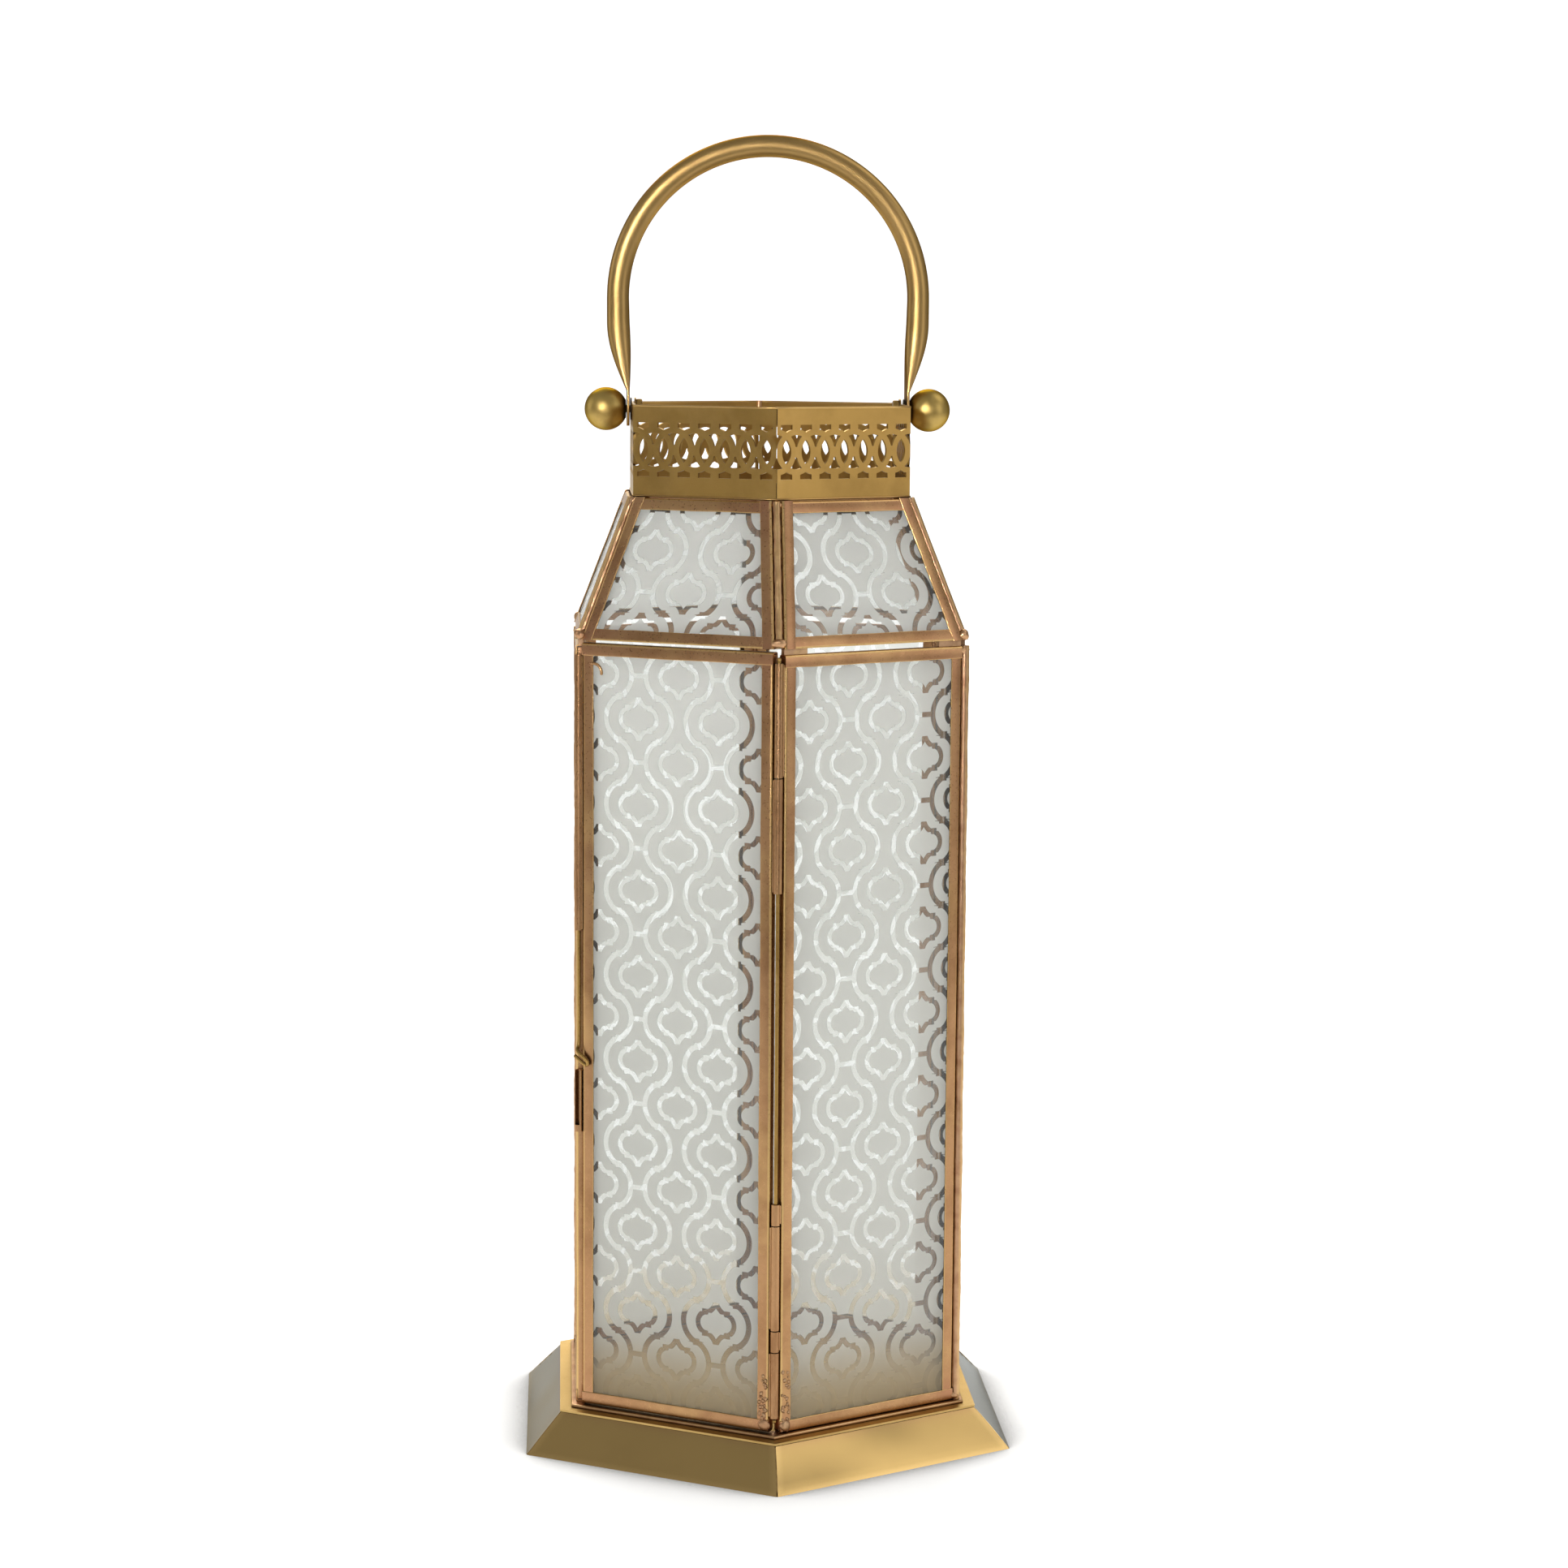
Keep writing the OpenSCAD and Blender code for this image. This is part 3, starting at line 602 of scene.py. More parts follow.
def etched_glass(name, normal, colours, period, column_start, row_start, lean=0.0,
                 bottom=DOOR_Z[0]):
    """Float glass with its outer face etched to frost and a clear trellis left in it.

    The frost hides what is behind and glows with the light that comes through; the clear lines and
    the glass's other faces show what is behind with a faint green-grey body. Near the floor the frost
    is painted tan: a painted reflection of light from the brass floor.
    """
    material, tree = new_material(name)
    place = add(tree, "ShaderNodeTexCoord").outputs["Object"]
    face = add(tree, "ShaderNodeMapping",
               {"Vector": place, "Rotation": (0.0, 0.0, -math.radians(normal + 90))}).outputs[0]
    apothem = BODY_APOTHEM
    if lean:
        apothem = 0.0
        shift = (0.0, EAVES_APOTHEM, -ROOF_Z[0])
        face = add(tree, "ShaderNodeMapping", {"Vector": face, "Location": shift}).outputs[0]
        face = add(tree, "ShaderNodeMapping", {"Vector": face, "Rotation": (lean, 0.0, 0.0)}).outputs[0]
    axes = add(tree, "ShaderNodeSeparateXYZ", {"Vector": face})
    values = {"along": axes.outputs["X"], "height": axes.outputs["Z"], "row_start": row_start,
              "column_start": column_start, "half_period": period / 2, "minus_half_period": -period / 2}
    for result, operation, *terms in TRELLIS:
        inputs = {i: values.get(term, term) for i, term in enumerate(terms)}
        values[result] = add(tree, "ShaderNodeMath", inputs, operation=operation).outputs[0]
    line_edge = 0.12
    frosted = add(tree, "ShaderNodeMapRange", {"Value": values["near"], "From Min": -line_edge,
                                               "From Max": line_edge}).outputs[0]
    etched_depth = -apothem + SHEET + 0.05 * MM
    world_z = add(tree, "ShaderNodeSeparateXYZ", {"Vector": place}).outputs["Z"]
    # the clear lines carry a little haze, and near the floor a film of soot and wax
    haze = add(tree, "ShaderNodeMapRange", {"Value": world_z, "From Min": bottom + 8 * MM,
                                            "From Max": bottom + 32 * MM, "To Min": 0.75,
                                            "To Max": 0.12}, interpolation_type="SMOOTHERSTEP").outputs[0]
    outer = add(tree, "ShaderNodeMath", {0: axes.outputs["Y"], 1: etched_depth}, operation="LESS_THAN")
    dense = add(tree, "ShaderNodeMath", {0: frosted, 1: 0.94}, operation="MULTIPLY")
    veil = add(tree, "ShaderNodeMath", {0: dense.outputs[0], 1: haze}, operation="MAXIMUM")
    cover = add(tree, "ShaderNodeMath", {0: veil.outputs[0], 1: outer.outputs[0]}, operation="MULTIPLY")
    # painted reflection: towards the floor the frost's colour turns tan, for light thrown up by the brass
    # floor
    glow = add(tree, "ShaderNodeMapRange", {"Value": world_z, "From Min": bottom,
                                            "From Max": bottom + 42 * MM, "To Min": 0.85,
                                            "To Max": 0.0}, interpolation_type="SMOOTHERSTEP").outputs[0]
    mottle = add(tree, "ShaderNodeTexNoise", {"Vector": place, "Scale": 1 / (30 * MM), "Detail": 4.0,
                                              "Roughness": 0.6}).outputs[0]
    cloudy = add(tree, "ShaderNodeMapRange", {"Value": mottle, "From Min": 0.3, "From Max": 0.7,
                                              "To Max": 0.35}).outputs[0]
    frost = opaque(colours.frost)
    for amount, layer in ((cloudy, linear("#EEEFE9")), (glow, linear("#D2BE96"))):
        frost = add(tree, "ShaderNodeMix", {0: amount, 6: frost, 7: opaque(layer)},
                    data_type="RGBA").outputs[2]
    grit = add(tree, "ShaderNodeTexNoise", {"Vector": place, "Scale": 1 / (0.35 * MM), "Detail": 2.0})
    relief = add(tree, "ShaderNodeBump", {"Height": grit.outputs[0], "Distance": 0.006 * MM}).outputs[0]
    face_shader = add(tree, "ShaderNodeBsdfPrincipled", {"Base Color": frost, "Roughness": 0.5,
                                                         "IOR": 1.5, "Normal": relief})
    through = add(tree, "ShaderNodeBsdfTranslucent", {"Color": frost})
    etched = add(tree, "ShaderNodeMixShader", {0: 0.76, 1: face_shader.outputs[0], 2: through.outputs[0]})
    clear = add(tree, "ShaderNodeBsdfTransparent", {"Color": opaque((0.905, 0.912, 0.907))})
    shine = add(tree, "ShaderNodeBsdfGlossy", {"Color": (1.0, 1.0, 1.0, 1.0), "Roughness": 0.04})
    mirror = add(tree, "ShaderNodeFresnel", {"IOR": 1.5})
    pane = add(tree, "ShaderNodeMixShader", {0: mirror.outputs[0], 1: clear.outputs[0], 2: shine.outputs[0]})
    whole = add(tree, "ShaderNodeMixShader", {0: cover.outputs[0], 1: pane.outputs[0], 2: etched.outputs[0]})
    add(tree, "ShaderNodeOutputMaterial", {"Surface": whole.outputs[0]})
    return material


def dress(material, *nodes):
    """Gives nodes of the frame a material."""
    for node in nodes:
        slots = frame["nodes"][node].material_slots
        for slot in slots:
            slot.material = material


def finish_named(name):
    """A finish made by the finishes operator."""
    found = bpy.data.materials.get(name)
    if found is None:
        raise RuntimeError("The finish " + name + " is not made yet")
    return found


class LANTERN_OT_finishes(bpy.types.Operator):
    """Make the lantern's metal finishes and give them to the parts of the frame that stay in sight"""

    bl_idname = "lantern.finishes"
    bl_label = "Metal finishes"

    def execute(self, context):
        colours = context.scene.lantern_colours
        copper_films = (colours.copper_dark, colours.copper_gold, colours.pink)
        sheet_films = (colours.sheet_dark, colours.copper_gold, colours.pink)
        satin_films = (colours.sheet_dark, colours.copper_gold, colours.copper)
        dull_edge = (0.18, 0.14, 0.08)
        grey_edge = (0.40, 0.48, 0.58)
        # Folded brass channel, pickled after soldering: coppery, with painted shade in its hollows and edges
        # lightened as wear and painted highlight
        metal("channel_brass", colours.copper, *copper_films, rough=0.30,
              film=0.40, film_size=24 * MM, rubbed=1.1, relief=0.012 * MM, uneven=0.8)
        # Pierced sheet brass, aged brown: satin, mottled
        collar = metal("pierced_sheet_brass", colours.sheet, *sheet_films, rough=0.32,
                       film=0.3, film_size=22 * MM, grain=0.9 * MM, relief=0.003 * MM, uneven=0.4)
        # Lacquered sheet brass: pale, smooth, with broad soft reflections that go grey at a slant
        metal("lacquered_skirt_brass", colours.skirt, *satin_films, rough=0.22,
              film=0.12, film_size=80 * MM, relief=0.0, uneven=0.0, edge_tint=grey_edge)
        # Floor's sheet brass: duller than the base, with a cloudy film from old candles
        floor = metal("floor_sheet_brass", colours.skirt, colours.sheet, colours.copper_gold,
                      colours.copper, rough=0.38, film=0.4, film_size=25 * MM)
        # Drawn brass tube: lines along its length
        tube = metal("drawn_tube_brass", colours.copper, *copper_films, rough=0.30,
                     film=0.5, film_size=8 * MM, grain=0.5 * MM, streak=(1, 1, 0.2))
        # Hard brass wire and turned screws: yellower than the channels, finely drawn
        wire = metal("hard_wire_brass", colours.sheet, *sheet_films, rough=0.3,
                     film=0.4, film_size=5 * MM, grain=0.4 * MM, streak=(1, 1, 0.3))
        # Satin-polished brass tube: fine even sheen
        metal("satin_handle_brass", colours.handle, *satin_films, rough=0.38,
              film=0.2, film_size=30 * MM, grain=0.5 * MM, relief=0.002 * MM, uneven=0.3,
              edge_tint=dull_edge)
        # Turned brass: olive satin with small clouds of tarnish
        metal("turned_knob_brass", colours.knob, *satin_films, rough=0.40,
              film=0.3, film_size=9 * MM, grain=0.5 * MM, relief=0.002 * MM, uneven=0.3,
              edge_tint=dull_edge)
        # Tin solder, flowed and wiped: grey, rough, dimpled
        metal("wiped_tin_solder", colours.solder, *copper_films, rough=0.42,
              film=0.5, film_size=4 * MM, grain=0.8 * MM, relief=0.06 * MM)
        # Soldered bead tinned and coppered over: like the channel, with a grainier skin
        bead_skin = metal("coppered_solder_bead", linear("#C09A78"), *copper_films, rough=0.34,
                          film=0.5, film_size=6 * MM, grain=1.2 * MM, relief=0.05 * MM)
        # Blackened steel washers: almost black, dull, brown at the edges
        black = linear("#3C342C")
        washer = metal("blackened_steel", black, linear("#211B16"), linear("#6A5D4C"), black,
                       rough=0.45, film=0.5, film_size=3 * MM, grain=0.5 * MM)
        dress(collar, "collar_left", "collar_right")
        dress(floor, "floor_plate")
        dress(tube, "hinge_tubes_fixed", "hinge_tubes_door", "latch_guide_tube", "latch_keeper")
        dress(wire, "hinge_pin_upper", "hinge_pin_lower", "pivot_screws", "inner_washers", "pivot_nuts")
        dress(washer, "outer_washers")
        dress(bead_skin, "roof_spacers", "collar_seams")
        return {"FINISHED"}


class LANTERN_OT_glass(bpy.types.Operator):
    """Etch the trellis into the side panes, the door's pane and the roof panes"""

    bl_idname = "lantern.glass"
    bl_label = "Etched glass"

    def execute(self, context):
        colours = context.scene.lantern_colours
        # Where the trellis starts on each side pane: period, column and row, in millimetres
        starts = {"front_left": (33.1, -15.8, 278.4), "front_right": (34.3, -11.3, 295.7),
                  "right": (33.4, 3.0, 287.0), "back_right": (33.4, -8.0, 281.0),
                  "back_left": (33.4, 10.0, 292.0), "left": (33.4, -2.0, 284.0)}
        roof_starts = {"front_left": (33.4, -16.6, 35.5), "front_right": (33.4, -1.0, 35.5),
                       "right": (33.4, 6.0, 30.0), "back_right": (33.4, -9.0, 26.0),
                       "back_left": (33.4, 2.0, 32.0), "left": (33.4, -5.0, 29.0)}
        lean = roof_lean(context.scene.lantern_sizes)
        for face, normal in FACES.items():
            node = "door_glass" if face == "front_left" else "glass_" + face
            pane = etched_glass("etched_float_glass_" + face, normal, colours, *starts[face])
            dress(pane, node)
            pane = etched_glass("etched_roof_glass_" + face, normal, colours, *roof_starts[face], lean=lean,
                                bottom=ROOF_Z[0] - 60 * MM)
            dress(pane, "roof_glass_" + face)
        return {"FINISHED"}


class LANTERN_OT_side_frames(bpy.types.Operator):
    """Fold the channels round the five fixed side panes and the door's pane"""

    bl_idname = "lantern.side_frames"
    bl_label = "Side and door channels"

    def execute(self, context):
        sizes = context.scene.lantern_sizes
        brass = finish_named("channel_brass")
        for k, (face, normal) in enumerate(FACES.items()):
            if face == "front_left":
                side_frame("door_channels", normal, DOOR_Z, "door_frame", "door", brass, sizes, 40 * k)
            else:
                side_frame("side_channels_" + face, normal, BODY_Z, "frame_" + face, "lantern", brass,
                           sizes, 40 * k)
        return {"FINISHED"}


class LANTERN_OT_roof_frames(bpy.types.Operator):
    """Fold the channels round the six roof panes and run the beads down the roof's ridges"""

    bl_idname = "lantern.roof_frames"
    bl_label = "Roof channels and ridges"

    def execute(self, context):
        sizes = context.scene.lantern_sizes
        brass = finish_named("channel_brass")
        for k, (face, normal) in enumerate(FACES.items()):
            roof_frame("roof_channels_" + face, normal, "roof_frame_" + face, brass, sizes, 300 + 40 * k)
        shell = Shell("ridge_solder_beads")
        sunk = 2.3 * MM
        eaves_r = EAVES_APOTHEM / COS30
        for k, corner in enumerate(CORNERS):
            way = corner_way(corner)
            start = way * (eaves_r - sunk) + UP * ROOF_Z[0]
            end = way * (sizes.roof_top_r - sunk) + UP * ROOF_Z[1]
            out = unit(np.cross(np.cross(end - start, way), end - start))
            bead(shell, start, end, out, 1.5 * MM, 2.6 * MM, 700 + k,
                 level=(ROOF_Z[0] + 0.02 * MM, ROOF_Z[1] - 0.02 * MM))
        shell.make(finish_named("coppered_solder_bead"), "lantern", "ridge_beads",
                   slot="soldered_brass_bead")
        return {"FINISHED"}


class LANTERN_OT_corner_beads(bpy.types.Operator):
    """Run solder down the four closed corners and a bead round the foot of the sides"""

    bl_idname = "lantern.corner_beads"
    bl_label = "Corner and foot beads"

    def execute(self, context):
        solder = finish_named("coppered_solder_bead")
        shell = Shell("corner_solder_beads")
        for k, corner in enumerate(BEADED_CORNERS):
            way = corner_way(corner)
            foot = way * AXIS_R
            bead(shell, foot + UP * BODY_Z[0], foot + UP * BODY_Z[1], way, 1.6 * MM, 3.9 * MM, 740 + k,
                 rings=160, level=BODY_Z)
        shell.make(solder, "lantern", "corner_beads", slot="soldered_brass_bead")
        foot = Shell("foot_bead")
        outer = high("foot_ring")[0]
        height = BODY_Z[0] - LEDGE_Z
        width = 6.2 * MM
        corners = [(-width, 0), (0, 0), (0, height), (-width, height)]
        outline, worn = rounded_outline(corners, [0.1 * MM, 0.3 * MM, 0.55 * MM, 0.1 * MM])
        hexagon_bead(foot, outer, LEDGE_Z, outline, worn, 0.6, 760, 0.01)
        foot.make(solder, "lantern", "foot_ring", slot="soldered_brass_bead")
        return {"FINISHED"}


class LANTERN_OT_base(bpy.types.Operator):
    """Cut the six leaning plates of the base and solder them inside their corners"""

    bl_idname = "lantern.base"
    bl_label = "Leaning base"

    def execute(self, context):
        sizes = context.scene.lantern_sizes
        shell = Shell("base_plates")
        lean = math.atan((BASE_APOTHEM - LEDGE_APOTHEM) / BASE_TOP)
        slope = BASE_TOP / math.cos(lean)
        narrowing = math.tan(math.radians(STEP_ANGLE / 2)) * math.sin(lean)
        half_foot = BASE_APOTHEM * math.tan(math.radians(STEP_ANGLE / 2))
        dent_depth = 0.30 * MM
        seam_r = 1.5 * MM
        sunk = 2.9 * MM
        v = np.linspace(0, slope, 9)
        u = np.linspace(-1, 1, 33)
        for k, normal in enumerate(FACES.values()):
            right, up, out = facing(normal, lean)
            foot = facing(normal)[2] * BASE_APOTHEM
            half = half_foot - narrowing * v - sizes.base_seam
            waves = ripple(0.5 + 0.5 * u, 800 + k, (0.6, 1.4, 2.6))
            dent = dent_depth * np.sin(math.pi * v / slope)[:, None] * waves
            front = foot + v[:, None, None] * up + (half[:, None] * u)[..., None] * right
            front = front + (dent - np.abs(dent).max())[..., None] * out
            back = front - sizes.sheet_t * out
            for grid in (front, back):
                grid[..., 2] = np.clip(grid[..., 2], 0.0, BASE_TOP)
            edge = np.clip(1 - v / (1.0 * MM), 0, 1)[:, None] * np.ones_like(u)
            ends = np.clip((np.abs(u) - 0.985) / 0.015, 0, 1)[None] * np.ones_like(edge)
            worn = np.maximum(edge, ends)
            hot = np.clip(1 - (slope - v) / (3.0 * MM), 0, 1)[:, None] * np.ones_like(u)
            shell.add(slab(front, back), worn=np.tile(worn.ravel(), 2), joint=np.tile(hot.ravel(), 2))
        for k, corner in enumerate(CORNERS):
            way = corner_way(corner)
            start = way * (BASE_APOTHEM / COS30 - sunk)
            end = way * (LEDGE_APOTHEM / COS30 - sunk) + UP * BASE_TOP
            out = unit(np.cross(np.cross(end - start, way), end - start))
            bead(shell, start, end, out, seam_r, seam_r, 820 + k, rings=20,
                 level=(0.2 * MM, BASE_TOP))
        shell.make(finish_named("lacquered_skirt_brass"), "lantern", "base_skirt",
                   slot="polished_brass_sheet", smooth=25)
        return {"FINISHED"}


# ---- handle, knobs and fasteners ----
def ease(t):
    """A quarter of a sine: 0 at 0, 1 from 1 on."""
    return np.sin(0.5 * math.pi * np.clip(t, 0, 1))


def handle_rings(box_high):
    """Heights and sections of the handle's right leg, from the tab's lower end up to the arch.

    Each ring has an inner x, an outer x, half a width in y and how square its outline is.
    """
    tab_x0 = 52.25 * MM
    tab_t = 1.1 * MM
    tab_r = box_high[1]
    tube_r = 4.15 * MM
    arch_r = box_high[0] - tube_r
    arch_z = box_high[2] - box_high[0]
    bulge = 0.45 * MM
    flat_z = 397 * MM
    round_z = 423 * MM
    disc = PIVOT_Z - tab_r * np.cos(np.linspace(0, 0.5 * math.pi, 12, endpoint=False))
    z = np.concatenate([disc, np.linspace(PIVOT_Z, flat_z, 5, endpoint=False),
                        np.linspace(flat_z, round_z, 28, endpoint=False),
                        np.linspace(round_z, arch_z, 8)])
    roundness = ease((z - flat_z) / (round_z - flat_z))
    bow = np.sin(math.pi * np.clip((z - flat_z) / (round_z - flat_z), 0, 1))
    straighten = np.clip((z - round_z) / (arch_z - round_z), 0, 1)
    outer = tab_x0 + tab_t + (arch_r + tube_r - tab_x0 - tab_t) * roundness
    inner = tab_x0 - bulge * bow + (arch_r - tube_r - tab_x0) * straighten
    chord = np.sqrt(np.maximum(tab_r ** 2 - np.minimum(z - PIVOT_Z, 0) ** 2, (0.15 * MM) ** 2))
    half_y = np.where(z < PIVOT_Z, chord, tube_r + (tab_r - tube_r) * (1 - roundness))
    return z, inner, outer, half_y, roundness, arch_r, arch_z, tube_r


class LANTERN_OT_handle(bpy.types.Operator):
    """Bend a brass tube into the handle and press its two ends flat

    Down each leg the section is x = middle + thickness/2 cos a |cos a|^(e-1) and
    y = half width sin a |sin a|^(e-1), where e goes from 0.25 at the flat tab to 1 on the round tube.
    Over the top it is a circle carried round half a circle.
    """

    bl_idname = "lantern.handle"
    bl_label = "Bent handle"

    def execute(self, context):
        around = 40
        a = np.linspace(0, 2 * math.pi, around, endpoint=False)
        z, inner, outer, half_y, roundness, arch_r, arch_z, tube_r = handle_rings(high("handle_bail"))
        power = (0.25 + 0.75 * roundness)[:, None]
        thick = 0.5 * (outer - inner)[:, None]
        cos_a = np.sign(np.cos(a)) * np.abs(np.cos(a)) ** power
        sin_a = np.sign(np.sin(a)) * np.abs(np.sin(a)) ** power
        leg = np.stack([0.5 * (outer + inner)[:, None] + thick * cos_a, half_y[:, None] * sin_a,
                        z[:, None] * np.ones(around)], -1)
        turn = np.linspace(0, math.pi, 90)[1:-1, None]
        reach = arch_r + tube_r * np.cos(a)
        arch = np.stack([reach * np.cos(turn), tube_r * np.sin(a) * np.ones_like(turn),
                         arch_z + reach * np.sin(turn)], -1)
        other = (leg * np.array([-1, 1, 1]))[::-1]
        surface = np.concatenate([leg, arch, other])
        shell = Shell("bent_handle")
        faces = grid_quads(len(surface), around, around=True)
        last = (len(surface) - 1) * around
        faces.append(list(range(around))[::-1])
        faces.append(list(range(last, last + around)))
        flat = 0.6 * (1 - roundness)
        joint = np.concatenate([flat, np.zeros(len(arch)), flat[::-1]])[:, None]
        crest = np.clip(np.cos(a), 0, 1) ** 6
        shell.add((surface, faces), worn=0.25 * crest, joint=joint)
        shell.make(finish_named("satin_handle_brass"), "handle", "handle_bail", slot="handle_brass",
                   smooth=50)
        return {"FINISHED"}


def turned(shell, axis_point, profile, worn=0.0, joint=0.0, around=64):
    """A profile of (x, radius) turned about a line along X; its two ends close to a point each."""
    profile = np.array(profile)
    a = np.linspace(0, 2 * math.pi, around, endpoint=False)
    body = profile[1:-1]
    rings = np.stack([body[:, :1] * np.ones(around), body[:, 1:] * np.cos(a), body[:, 1:] * np.sin(a)], -1)
    points = np.concatenate([[[profile[0][0], 0, 0]], rings.reshape(-1, 3), [[profile[-1][0], 0, 0]]])
    rows = len(body)
    faces = [[k + 1 for k in face] for face in grid_quads(rows, around, around=True)]
    ring = np.arange(around)
    faces += [[0, 1 + (j + 1) % around, 1 + j] for j in ring]
    last = len(points) - 1
    first = last - around
    faces += [[last, first + j, first + (j + 1) % around] for j in ring]
    if profile[-1][0] < profile[0][0]:
        faces = [face[::-1] for face in faces]
    shell.add((points + axis_point, faces), worn=worn, joint=joint)


class LANTERN_OT_knobs(bpy.types.Operator):
    """Turn the two brass balls at the handle's pivots

    A ball's profile is a circle arc cut by its seat, with a rounded edge.
    """

    bl_idname = "lantern.knobs"
    bl_label = "Ball knobs"

    def execute(self, context):
        for side, name in ((-1, "left"), (1, "right")):
            node = "ball_knob_" + name
            r = high(node)[1]
            tip = max(abs(low(node)[0]), abs(high(node)[0]))
            seat = min(abs(low(node)[0]), abs(high(node)[0]))
            centre = tip - r
            to_seat = math.acos((seat + 0.25 * MM - centre) / r)
            a = np.linspace(0, to_seat, 40)
            arc = np.stack([centre + r * np.cos(a), r * np.sin(a)], -1)
            rim = arc[-1, 1]
            close = [[seat + 0.08 * MM, rim - 0.12 * MM], [seat, rim - 0.35 * MM],
                     [seat, 0.5 * rim], [seat, 0.0]]
            profile = np.concatenate([arc, close])
            profile[:, 0] *= side
            shell = Shell("turned_ball_" + name)
            turned(shell, UP * PIVOT_Z, profile)
            shell.make(finish_named("turned_knob_brass"), "lantern", node, slot="turned_brass", smooth=60)
        return {"FINISHED"}


class LANTERN_OT_nuts(bpy.types.Operator):
    """Make the chamfered hexagon nuts inside the collar

    A nut's radius is the smaller of the hexagon's, f / cos(a - nearest flat), and a chamfer cone's.
    """

    bl_idname = "lantern.nuts"
    bl_label = "Pivot nuts"

    def execute(self, context):
        corner_r = high("pivot_nuts")[2] - PIVOT_Z
        x_out = high("pivot_nuts")[0]
        bore = 1.5 * MM
        thick = 2.4 * MM
        around = 96
        a = np.linspace(0, 2 * math.pi, around, endpoint=False)
        flat = corner_r * COS30 * 0.99
        off_flat = (a + math.pi / 6) % (math.pi / 3) - math.pi / 6
        hexagon = flat / np.cos(off_flat)
        shell = Shell("hexagon_nuts")
        x = np.array([0, 0, 0.25, 0.6, 0.6, 1.8, 1.8, 2.15, 2.4, 2.4]) / 2.4 * thick
        limit = np.array([0, 3.4, 3.9, 4.3, 4.5, 4.5, 4.3, 3.9, 3.4, 0]) / 4.3 * corner_r
        radius = np.minimum(hexagon, limit[:, None])
        radius[[0, -1]] = bore
        for side in (-1, 1):
            place = side * (x_out - thick + x)
            rings = np.stack([place[:, None] * np.ones(around), radius * np.sin(a), radius * np.cos(a)], -1)
            faces = grid_quads(len(x), around, around=True)
            faces.append(list(range(around))[::-1])
            faces.append(list(range((len(x) - 1) * around, len(x) * around)))
            if side > 0:
                faces = [face[::-1] for face in faces]
            shell.add((rings + UP * PIVOT_Z, faces), worn=np.clip(radius / corner_r - 0.9, 0, 0.1) * 8)
        shell.make(finish_named("hard_wire_brass"), "lantern", "pivot_nuts", slot="brass_wire")
        return {"FINISHED"}


def wire(points, rounds=3):
    """A polyline with its corners cut again and again until it is a smooth curve (Chaikin's rule)."""
    line = np.array(points, float)
    for _ in range(rounds):
        a = 0.75 * line[:-1] + 0.25 * line[1:]
        b = 0.25 * line[:-1] + 0.75 * line[1:]
        line = np.concatenate([line[:1], np.stack([a, b], 1).reshape(-1, 3), line[-1:]])
    return line


def wire_tube(shell, line, radius, hint, around=14, worn=0.2):
    """A round wire carried along a curve; each ring is square to the curve, with hint for its roll."""
    along = unit(np.gradient(line, axis=0))
    side = unit(np.cross(hint, along))
    out = np.cross(along, side)
    a = np.linspace(0, 2 * math.pi, around, endpoint=False)
    ring = np.stack([np.cos(a), np.sin(a)], -1)
    taper = np.ones(len(line))
    taper[[0, -1]] = 0.75
    section = ring[None] * (radius * taper)[:, None, None]
    shell.add(carried(line, side, out, section), worn=worn)


class LANTERN_OT_latch(bpy.types.Operator):
    """Bend the wire bolt of the latch, with its end doubled back over the door's stile"""

    bl_idname = "lantern.latch"
    bl_label = "Latch bolt"

    def execute(self, context):
        way = corner_way(-150)
        axis = way * AXIS_R
        right, _, out = facing(DOOR_FACE)
        top = high("latch_bolt")[2]
        root = low("latch_bolt")[2] + 6.2 * MM

        def at(x, y, z):
            return axis + out * x * MM + right * y * MM + UP * (root + z * MM)

        line = wire([at(0, 0, 30), at(0, 0, 8), at(0, 0, 1.0), at(2.45, 0.1, -0.1), at(2.45, 4.6, -3.3),
                     at(2.45, 5.3, -5.0), at(2.45, 3.9, -5.3), at(2.45, 0.2, -2.6), at(2.35, -0.5, -2.1)])
        shell = Shell("wire_bolt")
        line[0] = axis + UP * (top - 0.75 * MM)
        wire_tube(shell, line, 0.68 * MM, right + 0.3 * UP)
        shell.make(finish_named("hard_wire_brass"), "bolt", "latch_bolt", slot="brass_wire", smooth=60)
        clip = Shell("glass_clip")
        a = np.linspace(-0.2, 1.9, 24)
        pane_edge = BODY_HALF_W - context.scene.lantern_sizes.channel_w
        middle = out * (BODY_APOTHEM - 0.35 * MM) - right * pane_edge + UP * (DOOR_Z[1] - 9.5 * MM)
        line = middle + 3.4 * MM * (np.outer(np.cos(a), right) + np.outer(np.sin(a) - 0.4, UP))
        wire_tube(clip, line, 0.55 * MM, out)
        clip.make(finish_named("drawn_tube_brass"), "door", slot="brass_tube", smooth=60)
        return {"FINISHED"}


